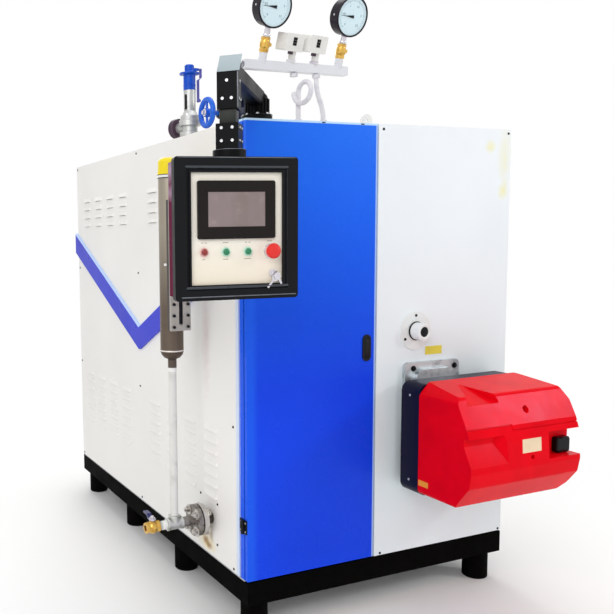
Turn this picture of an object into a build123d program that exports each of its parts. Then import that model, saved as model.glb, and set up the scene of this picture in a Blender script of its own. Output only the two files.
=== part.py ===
from build123d import *
import os
from math import atan2, cos, degrees, hypot, radians, sin

os.makedirs("parts", exist_ok=True)

# Gas-fired steam boiler in a sheet-metal cabinet on a skid, all sizes in millimetres.
# The model is drawn from the cabinet's front left bottom corner: x to the right,
# y to the rear and z up from the skid's top. It is written out from the underside
# of the front left foot.

# Cabinet
CAB_W = 920
CAB_D = 1400
CAB_H = 1250
PANEL_T = 25
FLOOR_T = 4
SHEET = 2
LUG_X = 406
LUG_Y = 30
LUG_UP = 11
LUG_R = 19
LUG_HOLE = 5
LUG_T = 6

# Skid and feet
BEAM_H = 65
BEAM_W = 50
BEAM_WALL = 5
FOOT_R = 38
FOOT_H = 90
FOOT_INSET = 50
FOOT_COUNT = 4
FOOT_CHAMFER = 3

# Door and the compartment behind it
DOOR_W = 421
DOOR_DEPTH = 12
DOOR_GAP = 5
POST_END = 43
POST_GROOVE = (8, 6)
BAY_DEPTH = 225
STIFFENER_W = 40
STIFFENER_EDGE = 60
PLATE_MARGIN = 35
PLATE_T = 3
PLATE_Z = (160, CAB_H - 150)

# Latch and hinges
LATCH_W = 28
LATCH_H = 76
LATCH_Z = 624
LATCH_EDGE = 31
LATCH_PROUD = 3
LATCH_BODY = 20
HINGE_OFFSET = 7
HINGE_Y = 14.5
HINGE_H = 38
HINGE_Z = 158
HINGE_BARREL = 5
HINGE_PIN = 2
HINGE_LEAF = 4
PIN_PLAY = 0.05

# Louvres
LOUVRE_W = 80
LOUVRE_H = 15
LOUVRE_OUT = 6
LOUVRE_SHEET = 1.2
LOUVRE_PITCH_Y = 133
LOUVRE_PITCH_Z = 33
LOUVRE_FRONT = 206
LOUVRE_REAR = 129
LOUVRE_CLEAR = 66
UPPER_ROWS = 4
UPPER_ROW_Z = CAB_H - 139
LOWER_ROWS = 7
LOWER_ROW_Z = 396

# Chevron stripe
STRIPE_T = 10
STRIPE_BEVEL = 6
STRIPE_H = 84
STRIPE_END_Z = CAB_H - 362
STRIPE_DIP = 332
STRIPE_OVERRUN = 10

# Burner
BURNER_X = (492, 887)
BURNER_Z = (214, 531)
BURNER_FRONT = 289
FLANGE_X = (520, 722)
FLANGE_Z = (365, 570)
FLANGE_T = 12
BACK_Y = (30, 100)
BACK_TOP = 525
BACK_CORNER = 28
BACK_INSET = 16
COVER_ROUND = 14
COVER_BROW = (232, 511)
COVER_WAIST = (272, 432)
COVER_LIP = (284, 395)
COVER_NOSE_Z = 318
COVER_CHIN = (282, 280)
WELL_X = (597, 625)
WELL_Z = (333, 388, 410)
WELL_DEPTH = 27
SHELF_X = 770
SHELF_Z = (330, 403)
SHELF_DEPTH = 43
LENS_SIZE = (49, 44)
LENS_OUT = 19
LENS_EDGE = 10
SCOOP_X = (520, 590, 631)
SCOOP_Y = (135, 243)
SCOOP_Z = (489, 528)
SCREW_WELL = (715, 465, 10)
RESET_HOLE = (710, 342, 6)
SEAM_Z = (418, 432)
SEAM_X = 645
SEAM = 3

# Sight port
SIGHT_X = 565
SIGHT_Z = 662
SIGHT_R = 56
SIGHT_PLATE = 3
SIGHT_TUBE = 25
SIGHT_BORE = 15
SIGHT_OUT = 38

# Water column and its drain
COLUMN_X = -120
COLUMN_Y = 209
COLUMN_R = 33
COLUMN_Z = (602, 1120)
CAP_H = 48
PIPE_R = 11.5
TEE_Z = 118
TEE_R = 17
TEE_HALF = 24
NOZZLE_R = 18
NOZZLE_TOP_Z = 945
FLANGE_R = 46
FLANGE_PAIR = (-60, -28)
VALVE_X = (-212, -169)
VALVE_HEX = 17
VALVE_BALL = 18
VALVE_BORE = 9
LEVER_X = -190
LEVER_L = 50
LEVER_W = 14
LEVER_Z = 138
STEM_R = 4
STEM_L = 8
SEAT_GAP = 0.3
GAUGE_GLASS_X = (-150, -90)
GAUGE_GLASS_Z = (689, 1049)
GAUGE_GLASS_Y = (148, 172)

# Panel box on its swinging arm
BOX_W = 288
BOX_H = 310
BOX_DEPTH = 48
BEZEL_DEPTH = 18
BEZEL_INSET = 8
BEZEL_STEP = 11
BEZEL_RIDGE = 4
BOX_HANG = 139.6
BOX_TOP = CAB_H - BOX_HANG
BOX_CENTRE = (-187.5, -280.3, BOX_TOP + BEZEL_INSET - BOX_H / 2)
BOX_YAW = 7.4
DROP_BACK = 45
PLATE_W = 214
PLATE_H = 243
PLATE_SHIFT = 1.2
TOUCH_W = 181
TOUCH_H = 126
TOUCH_UP = 41
SCREEN_W = 134
SCREEN_H = 76
LAMP_ROW = -50
LAMP_XS = (-76, -25.5, 26)
LAMP_RING = 9
LAMP_LENS = 4.5
STOP_X = 78.5
STOP_STEM = 8
STOP_HEAD = 17
STOP_STROKE = 4
COLLAR_H = 8
PLATE_SET = 8
PIVOT = (58, 40)
ARM_W = 40
ARM_Z = (37, 78)
ARM_EDGE = 5
ARM_BASE_R = 40
ARM_BASE_H = 14
HEAD_R = 30
HEAD_RIB = 3
HEAD_SHOULDER = 54
HEAD_TOP_R = 14
ELBOW_W = 45
ELBOW_Z = (-26, 95)
ELBOW_FACET = (36, 42.5)
NECK_W = 35
NECK_H = 31
COUPLING_W = 50
DISC_R = 37
DISC_H = 18
SPIGOT_R = 12
SPIGOT_H = 24
SWIVEL_GAP = 0.3

# Roof fittings
SAFETY_AT = (65, 450)
SAFETY_NECK = 89
SAFETY_BODY = 154
SAFETY_R = 19
BRIM_UP = 202
BRIM_R = 31
CAP_R = 15
CAP_UP = 231
OUTLET_DIR = (-0.25, 0.97, 0)
OUTLET_UP = 42
OUTLET_REACH = 50
OUTLET_R = 31
LIFT_UP = 217
LIFT_OUT = 24
LIFT_HALF = 5
LIFT_PIN = 2
LIFT_L = 94
LIFT_STRAP = 11
STEAM_AT = (203, 350)
STEAM_Z = 70
STEAM_FLANGE = 57.5
STEAM_PCD = 85
STEAM_HOLE = 7
STEAM_BORE = 13
BONNET_L = 92
GLAND_R = 13
STEM_WHEEL = 7
WHEEL_X = 73
WHEEL_R = 47
WHEEL_RIM = 8
BAR_X = (57, 395)
BAR_Y = 110
BAR_UP = 161
BAR_Z = CAB_H + BAR_UP
BAR_SIZE = 24
BAR_HOLE = 6
GAUGE_XS = (114.5, 365)
GAUGE_LEAN = 17
GAUGE_YAW = 5
GAUGE_REACH = (151, 147)
GAUGE_TAIL = 8
DIAL_R = 54
DIAL_RIM = 4
CASE_T = 40
FITTING_R = 11.5
COCK_ALONG = (35, 75)
COCK_R = 12
COCK_BOSS = (5, 19)
STUB_R = 9
SWITCH_XS = (206, 282.5)
SWITCH_SHIFT = 15
SWITCH_SIZE = (64, 40, 46)
SWITCH_UP = 43
SWITCH_YAW = 9
SWITCH_STEM = 10
SWITCH_WINDOW = (15, 22)
SYPHON_X = 220
SYPHON_YAW = 9
LOOP_R = 29
LOOP_UP = 90
LOOP_PITCH = 17
RISER_X = (294.5, 319.4)
RISER_R = 7
RISER_ENDS = (14, 18)
UNION_R = 12
UNION_H = 12
FLUE_AT = (CAB_W / 2, CAB_D - 220)
FLUE_R = 80
FLUE_WALL = 4
FLUE_H = 110
INLET_AT = (200, 300)

SIDE_TOP = CAB_H
REAR = CAB_D
ORIGIN = Pos(-FOOT_INSET, -FOOT_INSET, FOOT_H + BEAM_H)
BASE = (Align.CENTER, Align.CENTER, Align.MIN)


def block(x0, x1, y0, y1, z0, z1):
    """A box between three pairs of planes."""
    middle = Pos((x0 + x1) / 2, (y0 + y1) / 2, (z0 + z1) / 2)
    return middle * Box(x1 - x0, y1 - y0, z1 - z0)


def rod(radius, start, direction, length):
    """A round bar that starts at a point and runs along a direction."""
    return Plane(origin=start, z_dir=direction) * Cylinder(radius, length, align=BASE)


def turned(points, start, direction):
    """A turned piece from its half profile, given as (radius, height) pairs."""
    face = Plane.XZ * Polygon(*points, align=None)
    return Plane(origin=start, z_dir=direction) * revolve(face, Axis.Z)


# Skid

def foot_rows():
    """The y of each foot on a side."""
    span = CAB_D - 2 * FOOT_INSET
    return [FOOT_INSET + i * span / (FOOT_COUNT - 1) for i in range(FOOT_COUNT)]


def feet():
    """Round feet under both long beams."""
    foot = Cylinder(FOOT_R, FOOT_H, align=BASE)
    foot = chamfer(foot.faces().sort_by(Axis.Z)[0].edges(), FOOT_CHAMFER)
    low = -BEAM_H - FOOT_H
    return Compound(
        [Pos(x, y, low) * foot for x in (FOOT_INSET, CAB_W - FOOT_INSET) for y in foot_rows()]
    )


def side_beam(x0):
    """A box-section beam along one side, with closed ends."""
    beam = block(x0, x0 + BEAM_W, 0, CAB_D, -BEAM_H, 0)
    hollow = block(
        x0 + BEAM_WALL, x0 + BEAM_W - BEAM_WALL, BEAM_WALL, CAB_D - BEAM_WALL,
        -BEAM_H + BEAM_WALL, -BEAM_WALL,
    )
    return beam - hollow


def cross_beams():
    """Channels between the side beams, at the ends and over the inner feet."""
    depth = BEAM_W
    profile = Rectangle(depth, BEAM_H, align=Align.MIN)
    profile -= Pos(BEAM_WALL, BEAM_WALL) * Rectangle(
        depth, BEAM_H - 2 * BEAM_WALL, align=Align.MIN
    )
    length = CAB_W - 2 * BEAM_W
    channel = extrude(Plane.YZ * profile, amount=length)
    rows = [0] + [y - depth / 2 for y in foot_rows()[1:-1]]
    beams = [Pos(BEAM_W, y, -BEAM_H) * channel for y in rows]
    rear = mirror(channel, Plane.XZ)
    beams.append(Pos(BEAM_W, CAB_D, -BEAM_H) * rear)
    return Compound(beams)


def floor_plate():
    """The sheet that closes the cabinet's underside."""
    return block(0, CAB_W, DOOR_DEPTH + DOOR_GAP, CAB_D, 0, FLOOR_T)


# Cabinet panels

def left_side_panel():
    return block(0, PANEL_T, POST_END, REAR, FLOOR_T, SIDE_TOP)


def right_side_panel():
    return block(CAB_W - PANEL_T, CAB_W, PANEL_T, REAR, FLOOR_T, SIDE_TOP)


def rear_panel():
    return block(PANEL_T, CAB_W - PANEL_T, REAR - PANEL_T, REAR, FLOOR_T, SIDE_TOP)


def front_panel():
    return block(DOOR_W + DOOR_GAP, CAB_W, 0, PANEL_T, FLOOR_T, SIDE_TOP)


def lifting_lug(y):
    """An upright eye on the roof."""
    high = SIDE_TOP + LUG_UP
    lug = rod(LUG_R, (LUG_X, y - LUG_T / 2, high), (0, 1, 0), LUG_T)
    lug += block(LUG_X - LUG_R, LUG_X + LUG_R, y - LUG_T / 2, y + LUG_T / 2, SIDE_TOP, high)
    lug -= block(LUG_X - LUG_R, LUG_X + LUG_R, y - LUG_T, y + LUG_T, SIDE_TOP - LUG_R, SIDE_TOP)
    return lug - rod(LUG_HOLE, (LUG_X, y - LUG_T, high), (0, 1, 0), 2 * LUG_T)


def roof_panel():
    """The roof between the side panels, with a lip over the compartment and two eyes."""
    low = SIDE_TOP - PANEL_T
    roof = block(PANEL_T, CAB_W - PANEL_T, PANEL_T, REAR - PANEL_T, low, SIDE_TOP)
    roof += block(PANEL_T, DOOR_W + DOOR_GAP, DOOR_DEPTH + DOOR_GAP, PANEL_T, low, SIDE_TOP)
    return roof + lifting_lug(LUG_Y) + lifting_lug(CAB_D - LUG_Y)


def corner_post():
    """The blue post that the door hangs on, with a groove along the side panel."""
    wide, deep = POST_GROOVE
    post = block(0, PANEL_T, DOOR_DEPTH + DOOR_GAP, POST_END, FLOOR_T, SIDE_TOP)
    return post - block(0, deep, POST_END - wide, POST_END, FLOOR_T, SIDE_TOP)


def boiler_casing():
    """The closed body behind the compartment."""
    return block(
        PANEL_T, CAB_W - PANEL_T, PANEL_T + BAY_DEPTH, REAR - PANEL_T, FLOOR_T, SIDE_TOP - PANEL_T
    )


def burner_bay():
    """The closed bay behind the white front panel."""
    return block(
        DOOR_W + DOOR_GAP, CAB_W - PANEL_T, PANEL_T, PANEL_T + BAY_DEPTH, FLOOR_T,
        SIDE_TOP - PANEL_T,
    )


def mounting_plate():
    """The bare plate on the compartment's rear wall."""
    return block(
        PANEL_T + PLATE_MARGIN, DOOR_W + DOOR_GAP - PLATE_MARGIN,
        PANEL_T + BAY_DEPTH - PLATE_T, PANEL_T + BAY_DEPTH, *PLATE_Z,
    )


def louvre():
    """One pressed hood, open below, on a plane that faces along +Z."""
    def hood(grow, thick):
        base = Pos(0, -LOUVRE_H / 2 - grow) * Rectangle(LOUVRE_W - 2 * thick, LOUVRE_H)
        lip = Pos(0, -LOUVRE_H + 0.5 - grow, LOUVRE_OUT - thick)
        lip *= Rectangle(LOUVRE_W - 2 * LOUVRE_OUT - 2 * thick, 1)
        return loft([base, lip])
    return hood(0, 0) - hood(LOUVRE_SHEET, LOUVRE_SHEET)


def louvre_columns():
    """The y of each column: a set from the front and one from the rear, clear of the middle."""
    reach = CAB_D / 2 - LOUVRE_CLEAR
    front = int((reach - LOUVRE_FRONT) / LOUVRE_PITCH_Y) + 1
    rear = int((reach - LOUVRE_REAR) / LOUVRE_PITCH_Y) + 1
    columns = [LOUVRE_FRONT + i * LOUVRE_PITCH_Y for i in range(front)]
    return columns + [CAB_D - LOUVRE_REAR - i * LOUVRE_PITCH_Y for i in range(rear)]


def louvres(face):
    """All louvres of one side."""
    hood = louvre()
    rows = [UPPER_ROW_Z - i * LOUVRE_PITCH_Z for i in range(UPPER_ROWS)]
    rows += [LOWER_ROW_Z - i * LOUVRE_PITCH_Z for i in range(LOWER_ROWS)]
    return Compound([face(y, z) * hood for y in louvre_columns() for z in rows])


def left_face(y, z):
    return Plane(origin=(0, y, z), x_dir=(0, -1, 0), z_dir=(-1, 0, 0))


def right_face(y, z):
    return Plane(origin=(CAB_W, y, z), x_dir=(0, 1, 0), z_dir=(1, 0, 0))


def chevron(front_y, x0, outward):
    """The folded V stripe, bevelled along its upper edge."""
    rear_y = REAR + STRIPE_OVERRUN
    middle = (POST_END + REAR) / 2
    low = STRIPE_END_Z - STRIPE_DIP
    lower = [(front_y, STRIPE_END_Z), (middle, low), (rear_y, STRIPE_END_Z)]
    upper = [(y, z + STRIPE_H) for y, z in reversed(lower)]
    body = extrude(Plane.YZ * Polygon(*lower, *upper, align=None), amount=STRIPE_T)
    top = body.faces().sort_by(Axis.X)[-1]
    upper_edges = [
        e for e in top.edges()
        if e.center().Z > STRIPE_END_Z - STRIPE_DIP / 2 + STRIPE_H / 2 and e.length > 2 * STRIPE_H
    ]
    body = chamfer(upper_edges, STRIPE_BEVEL)
    if outward < 0:
        body = mirror(body, Plane.YZ)
    return Pos(x0, 0, 0) * body


# Door

def front_door():
    """A folded tray with two stiffening channels."""
    low = FLOOR_T + 1
    high = CAB_H
    tray = block(0, DOOR_W, 0, DOOR_DEPTH, low, high)
    tray -= block(SHEET, DOOR_W - SHEET, SHEET, DOOR_DEPTH, low + SHEET, high - SHEET)
    for x in (STIFFENER_EDGE, DOOR_W - STIFFENER_EDGE - STIFFENER_W):
        rib = block(x, x + STIFFENER_W, SHEET, DOOR_DEPTH, low + SHEET, high - SHEET)
        rib -= block(
            x + SHEET, x + STIFFENER_W - SHEET, SHEET, DOOR_DEPTH - SHEET, low, high
        )
        tray += rib
    x = DOOR_W - LATCH_EDGE
    tray -= block(
        x - LATCH_W / 2 + 3, x + LATCH_W / 2 - 3, 0, SHEET,
        LATCH_Z - LATCH_H / 2 + 6, LATCH_Z + LATCH_H / 2 - 6,
    )
    return tray


def door_latch():
    """A flush latch: rounded plate, its recessed paddle and the body behind."""
    x = DOOR_W - LATCH_EDGE
    plate = Pos(x, LATCH_Z) * SlotOverall(LATCH_H, LATCH_W, rotation=90)
    plate = extrude(Plane.XZ * plate, amount=LATCH_PROUD)
    well = Pos(x, LATCH_Z) * SlotOverall(LATCH_H - 12, LATCH_W - 12, rotation=90)
    plate -= Pos(0, -LATCH_PROUD, 0) * extrude(Plane.XZ * well, amount=-2)
    body = block(
        x - LATCH_W / 2 + 4, x + LATCH_W / 2 - 4, 0, LATCH_BODY,
        LATCH_Z - LATCH_H / 2 + 8, LATCH_Z + LATCH_H / 2 - 8,
    )
    return plate + body


def hinge_heights():
    return [HINGE_Z, CAB_H - HINGE_Z]


def hinge_posts():
    """The fixed half of each hinge: leaf, lower barrel and pin."""
    halves = []
    for z in hinge_heights():
        low = z - HINGE_H / 2
        near = HINGE_Y + HINGE_BARREL + 0.5
        leaf = block(-HINGE_LEAF, 0, near, near + 14, low, low + HINGE_H)
        arm = block(-HINGE_LEAF, -SHEET, HINGE_Y, near + 1, low, z - PIN_PLAY)
        barrel = rod(HINGE_BARREL, (-HINGE_OFFSET, HINGE_Y, low), (0, 0, 1), HINGE_H / 2 - 0.2)
        pin = rod(HINGE_PIN, (-HINGE_OFFSET, HINGE_Y, low), (0, 0, 1), HINGE_H - 1)
        halves.append(leaf + arm + barrel + pin)
    return Compound(halves)


def hinge_knuckles():
    """The half of each hinge that turns with the door."""
    halves = []
    for z in hinge_heights():
        high = z + HINGE_H / 2
        near = HINGE_Y - HINGE_BARREL - 0.5
        leaf = block(-HINGE_LEAF, 0, 0.5, near, z - HINGE_H / 2, high)
        arm = block(-HINGE_LEAF, -SHEET, near - 1, HINGE_Y, z, high)
        barrel = rod(HINGE_BARREL, (-HINGE_OFFSET, HINGE_Y, z), (0, 0, 1), HINGE_H / 2)
        bore = rod(
            HINGE_PIN + PIN_PLAY, (-HINGE_OFFSET, HINGE_Y, z), (0, 0, 1), HINGE_H / 2
        )
        halves.append(leaf + arm + barrel - bore)
    return Compound(halves)


# Burner

def burner_flange():
    """The plate bolted to the cabinet and the cast flange on it."""
    x0, x1 = FLANGE_X
    z0, z1 = FLANGE_Z
    centre = Pos((x0 + x1) / 2, (z0 + z1) / 2)
    plate = extrude(Plane.XZ * centre * RectangleRounded(x1 - x0, z1 - z0, 14), amount=FLANGE_T)
    neck = extrude(Plane.XZ * centre * RectangleRounded(150, 165, 30), amount=BACK_Y[0])
    return plate + neck


def burner_back():
    """The dark rear half of the burner's housing."""
    x0, x1 = BURNER_X
    z0, z1 = BURNER_Z
    wide = x1 - x0 - BACK_INSET
    tall = BACK_TOP - z0 + BACK_INSET / 2
    shape = Pos(x0 + wide / 2, BACK_TOP - tall / 2) * RectangleRounded(wide, tall, BACK_CORNER)
    return extrude(Plane.XZ.offset(BACK_Y[0]) * shape, amount=BACK_Y[1] - BACK_Y[0])


def cover_outline():
    """The cover seen from the front."""
    x0, x1 = BURNER_X
    z0, z1 = BURNER_Z
    points = [
        (x0, z0), (x1 - 21, z0), (x1, z0 + 24), (x1, z1 - 55), (x1 - 21, z1 - 19),
        (x1 - 39, z1), (x0 + 33, z1), (x0, z1 - 34),
    ]
    face = Polygon(*points, align=None)
    return fillet(face.vertices(), COVER_ROUND)


def cover_side():
    """The cover seen from its side, as (depth from the cabinet, height)."""
    z0, z1 = BURNER_Z
    back = BACK_Y[1]
    points = [(-back, z0), (-back, z1)]
    for depth, z in (COVER_BROW, COVER_WAIST, COVER_LIP, (BURNER_FRONT, COVER_NOSE_Z), COVER_CHIN):
        points.append((-depth, z))
    points.append((-COVER_BROW[0], z0))
    face = Polygon(*points, align=None)
    return fillet(face.vertices().filter_by_position(Axis.X, -BURNER_FRONT, -back - 1), COVER_ROUND)


def left_well():
    """The wedge cut over the label, open to the left, with a sloped right wall."""
    front = -BURNER_FRONT - 1
    deep = -BURNER_FRONT + WELL_DEPTH
    low, bend, high = WELL_Z
    x0 = BURNER_X[0] - 1
    side = Polygon((front, low), (-BURNER_FRONT, low), (deep, bend), (deep, high), (front, high),
                   align=None)
    plan = Polygon((x0, front), (WELL_X[1], front), (WELL_X[0], deep), (x0, deep), align=None)
    depth = extrude(Plane.YZ.offset(x0) * side, amount=WELL_X[1] - x0)
    return depth & extrude(Pos(0, 0, low) * plan, amount=high - low)


def scoop():
    """The three-sided scoop that runs from the brow back into the cover's top."""
    left, tip, right = SCOOP_X
    far, near = SCOOP_Y
    low, high = SCOOP_Z
    tall = BURNER_Z[1] - low + 2
    plan = Polygon((left, -near), (right, -near), (tip, -far), align=None)
    side = Polygon((-near, low), (-far, high), (-far, low + tall), (-near, low + tall), align=None)
    above = extrude(Plane.YZ.offset(left) * side, amount=right - left)
    return above & extrude(Pos(0, 0, low) * plan, amount=tall)


def burner_cover():
    """The moulded cover: two outlines crossed, with its scoop and recesses."""
    x0, x1 = BURNER_X
    front_view = extrude(
        Plane.XZ.offset(BACK_Y[1]) * cover_outline(), amount=BURNER_FRONT - BACK_Y[1]
    )
    side_view = extrude(Plane.YZ.offset(x0) * cover_side(), amount=x1 - x0)
    body = front_view & side_view
    skin = body - Pos(0, SEAM, 0) * body
    front = -BURNER_FRONT
    back = -BACK_Y[1]
    body -= left_well()
    body -= block(SHELF_X, x1, front, front + SHELF_DEPTH, *SHELF_Z)
    body -= scoop()
    x, z, r = SCREW_WELL
    body -= rod(r, (x, front + 50, z), (0, -1, 0), 50)
    x, z, r = RESET_HOLE
    body -= rod(r, (x, front + 20, z), (0, -1, 0), 20)
    low, high = SEAM_Z
    body -= skin & block(x0, SEAM_X + SEAM, front, back, high, high + SEAM)
    body -= skin & block(SEAM_X, SEAM_X + SEAM, front, back, low, high)
    body -= skin & block(SEAM_X, x1, front, back, low, low + SEAM)
    return body


def burner_knob():
    """The dark lens over the burner's reset button."""
    wide, tall = LENS_SIZE
    x = BURNER_X[1] - LENS_EDGE - wide / 2
    z = SHELF_Z[0] + 1 + tall / 2
    seat = Plane.XZ.offset(BURNER_FRONT - SHELF_DEPTH) * Pos(x, z)
    lens = extrude(seat * RectangleRounded(wide, tall, 8), amount=LENS_OUT)
    return chamfer(lens.faces().sort_by(Axis.Y)[0].edges(), 3)


def sight_port():
    """The round plate above the burner and its viewing tube."""
    plate = rod(SIGHT_R, (SIGHT_X, 0, SIGHT_Z), (0, -1, 0), SIGHT_PLATE)
    tube = rod(SIGHT_TUBE, (SIGHT_X, 0, SIGHT_Z), (0, -1, 0), SIGHT_OUT)
    bore = rod(SIGHT_BORE, (SIGHT_X, -8, SIGHT_Z), (0, -1, 0), SIGHT_OUT)
    return plate + tube - bore


# Water column

def water_column():
    """The stainless pot with its dished bottom."""
    z0, z1 = COLUMN_Z
    r = COLUMN_R
    profile = [
        (0, z0), (12, z0), (r - 10, z0 + 5), (r - 3, z0 + 13), (r, z0 + 22), (r + 1, z0 + 24),
        (r + 1, z0 + 27), (r, z0 + 29), (r, z1), (0, z1),
    ]
    return turned(profile, (COLUMN_X, COLUMN_Y, 0), (0, 0, 1))


def column_cap():
    """The yellow protective cap on the pot."""
    z1 = COLUMN_Z[1]
    r = COLUMN_R
    top = z1 + CAP_H
    profile = [(0, z1), (r + 1.5, z1), (r + 1.5, z1 + 8), (r, z1 + 8), (r, top - 12),
               (r - 4, top - 6), (r - 12, top - 1.5), (0, top)]
    return turned(profile, (COLUMN_X, COLUMN_Y, 0), (0, 0, 1))


def column_nozzle(z, reach):
    """A stub from the panel with its bolted pair of flanges."""
    y = COLUMN_Y
    far, near = FLANGE_PAIR
    stub = rod(NOZZLE_R, (0, y, z), (-1, 0, 0), -near)
    middle = (far + near) / 2
    inner = rod(FLANGE_R, (near, y, z), (-1, 0, 0), near - middle - 1)
    gasket = rod(FLANGE_R - 8, (middle + 1, y, z), (-1, 0, 0), 2)
    outer = rod(FLANGE_R, (middle - 1, y, z), (-1, 0, 0), middle - 1 - far)
    spigot = rod(PIPE_R + 3, (far, y, z), (-1, 0, 0), reach)
    return stub + inner + gasket + outer + spigot


def column_nozzles():
    """The lower nozzle to the tee and the upper one into the pot."""
    low = column_nozzle(TEE_Z, FLANGE_PAIR[0] - COLUMN_X - TEE_HALF)
    high = column_nozzle(NOZZLE_TOP_Z, FLANGE_PAIR[0] - COLUMN_X - COLUMN_R + 1)
    z0, z1 = COLUMN_Z
    high -= rod(COLUMN_R, (COLUMN_X, COLUMN_Y, z0), (0, 0, 1), z1 - z0)
    return Compound([low, high])


def drain_pipe():
    """The pipe from the pot down to the tee, with a reducing nipple at its top."""
    x, y = COLUMN_X, COLUMN_Y
    top = COLUMN_Z[0]
    nipple = rod(PIPE_R + 1, (x, y, top - 24), (0, 0, 1), 24)
    run = rod(PIPE_R, (x, y, TEE_Z + TEE_HALF), (0, 0, 1), top - 24 - TEE_Z - TEE_HALF)
    return nipple + run


def drain_tee():
    """The tee and the nipple to the valve."""
    x, y, z = COLUMN_X, COLUMN_Y, TEE_Z
    run = rod(TEE_R, (x - TEE_HALF, y, z), (1, 0, 0), 2 * TEE_HALF)
    branch = rod(TEE_R, (x, y, z), (0, 0, 1), TEE_HALF)
    nipple = rod(PIPE_R, (VALVE_X[1], y, z), (1, 0, 0), x - TEE_HALF - VALVE_X[1])
    return run + branch + nipple


def drain_valve():
    """The brass ball valve."""
    x0, x1 = VALVE_X
    y, z = COLUMN_Y, TEE_Z
    nut = extrude(RegularPolygon(VALVE_HEX, 6), amount=10)
    hexagon = Plane(origin=(x0, y, z), z_dir=(1, 0, 0)) * nut
    body = rod(VALVE_HEX - 2, (x0, y, z), (1, 0, 0), x1 - x0)
    ball = Pos(LEVER_X, y, z) * Sphere(VALVE_BALL)
    other = Plane(origin=(x1 - 10, y, z), z_dir=(1, 0, 0)) * nut
    neck = rod(STEM_R + 3, (LEVER_X, y, z), (0, 0, 1), LEVER_Z - z - SEAT_GAP)
    valve = body + ball + hexagon + other + neck
    valve -= rod(STEM_R + PIN_PLAY, (LEVER_X, y, LEVER_Z - STEM_L), (0, 0, 1), STEM_L)
    return valve - rod(VALVE_BORE, (x0, y, z), (1, 0, 0), 2 * VALVE_BORE)


def drain_lever():
    """The blue lever, shown closed, across the pipe."""
    x, y, z = LEVER_X, COLUMN_Y, LEVER_Z
    stem = rod(STEM_R, (x, y, z - STEM_L + SEAT_GAP), (0, 0, 1), STEM_L)
    hub = rod(9, (x, y, z), (0, 0, 1), 7)
    side = Polygon(
        (y, z), (y + 18, z), (y + 28, z + 8), (y + LEVER_L, z + 8), (y + LEVER_L, z + 13),
        (y + 25, z + 13), (y + 15, z + 5), (y, z + 5), align=None,
    )
    blade = extrude(Plane.YZ.offset(x - LEVER_W / 2) * side, amount=LEVER_W)
    return stem + hub + blade


def water_gauge():
    """The flat-glass level gauge on the pot, with its glass slot."""
    x0, x1 = GAUGE_GLASS_X
    y0, y1 = GAUGE_GLASS_Y
    z0, z1 = GAUGE_GLASS_Z
    body = block(x0, x1, y0, y1, z0, z1)
    centre = Pos((x0 + x1) / 2, (z0 + z1) / 2)
    slot = Plane.XZ.offset(-y0 - 6) * centre * SlotOverall(z1 - z0 - 30, 12, rotation=90)
    body -= extrude(slot, amount=7)
    for z in (z0 + 35, z1 - 35):
        port = rod(12, ((x0 + x1) / 2, y1, z), (0, 1, 0), COLUMN_Y - y1)
        body += port - rod(COLUMN_R, (COLUMN_X, COLUMN_Y, z - 20), (0, 0, 1), 40)
    return body


# Panel box and arm

BOX_FACE = Plane(
    origin=BOX_CENTRE,
    x_dir=(cos(radians(BOX_YAW)), -sin(radians(BOX_YAW)), 0),
    z_dir=(-sin(radians(BOX_YAW)), -cos(radians(BOX_YAW)), 0),
)
DROP_X = BOX_CENTRE[0] + DROP_BACK * sin(radians(BOX_YAW))
DROP_Y = BOX_CENTRE[1] + DROP_BACK * cos(radians(BOX_YAW))
ARM_L = hypot(DROP_X - PIVOT[0], DROP_Y - PIVOT[1])
ARM_ANGLE = degrees(atan2(DROP_Y - PIVOT[1], DROP_X - PIVOT[0]))
ARM_SEAT = Pos(PIVOT[0], PIVOT[1], CAB_H) * Rot(0, 0, ARM_ANGLE)


def on_box(sketch, height):
    """Puts a sketch on the box's face, a height in front of it."""
    return Plane(origin=BOX_FACE.from_local_coords((0, 0, height)), x_dir=BOX_FACE.x_dir,
                 z_dir=BOX_FACE.z_dir) * sketch


def control_box():
    """The sheet-metal box behind the bezel."""
    shape = Rectangle(BOX_W - 2 * BEZEL_INSET, BOX_H - 2 * BEZEL_INSET)
    return extrude(on_box(shape, -BEZEL_DEPTH), amount=-BOX_DEPTH)


def control_bezel():
    """The black frame with its chamfered inner edge."""
    frame = extrude(on_box(RectangleRounded(BOX_W, BOX_H, 8), -BEZEL_DEPTH), amount=BEZEL_DEPTH)
    place = Pos(PLATE_SHIFT, 0)
    opening = place * Rectangle(PLATE_W, PLATE_H)
    frame -= extrude(on_box(opening, -BEZEL_DEPTH), amount=BEZEL_DEPTH)
    step = place * Rectangle(PLATE_W + 2 * BEZEL_STEP, PLATE_H + 2 * BEZEL_STEP)
    frame -= extrude(on_box(step, -5), amount=5)
    ridge = place * Rectangle(PLATE_W + 2 * BEZEL_RIDGE, PLATE_H + 2 * BEZEL_RIDGE) - opening
    return frame + extrude(on_box(ridge, -5), amount=BEZEL_RIDGE)


def control_plate():
    """The pale plate that carries the instruments, with the stop button's collar."""
    face = Pos(PLATE_SHIFT, 0) * Rectangle(PLATE_W, PLATE_H)
    plate = extrude(on_box(face, -BEZEL_DEPTH), amount=BEZEL_DEPTH - PLATE_SET)
    at = BOX_FACE.from_local_coords((STOP_X, LAMP_ROW, -PLATE_SET))
    collar = rod(STOP_STEM + 6, at, BOX_FACE.z_dir, COLLAR_H)
    return plate + collar - rod(STOP_STEM + PIN_PLAY, at, BOX_FACE.z_dir, COLLAR_H)


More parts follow.
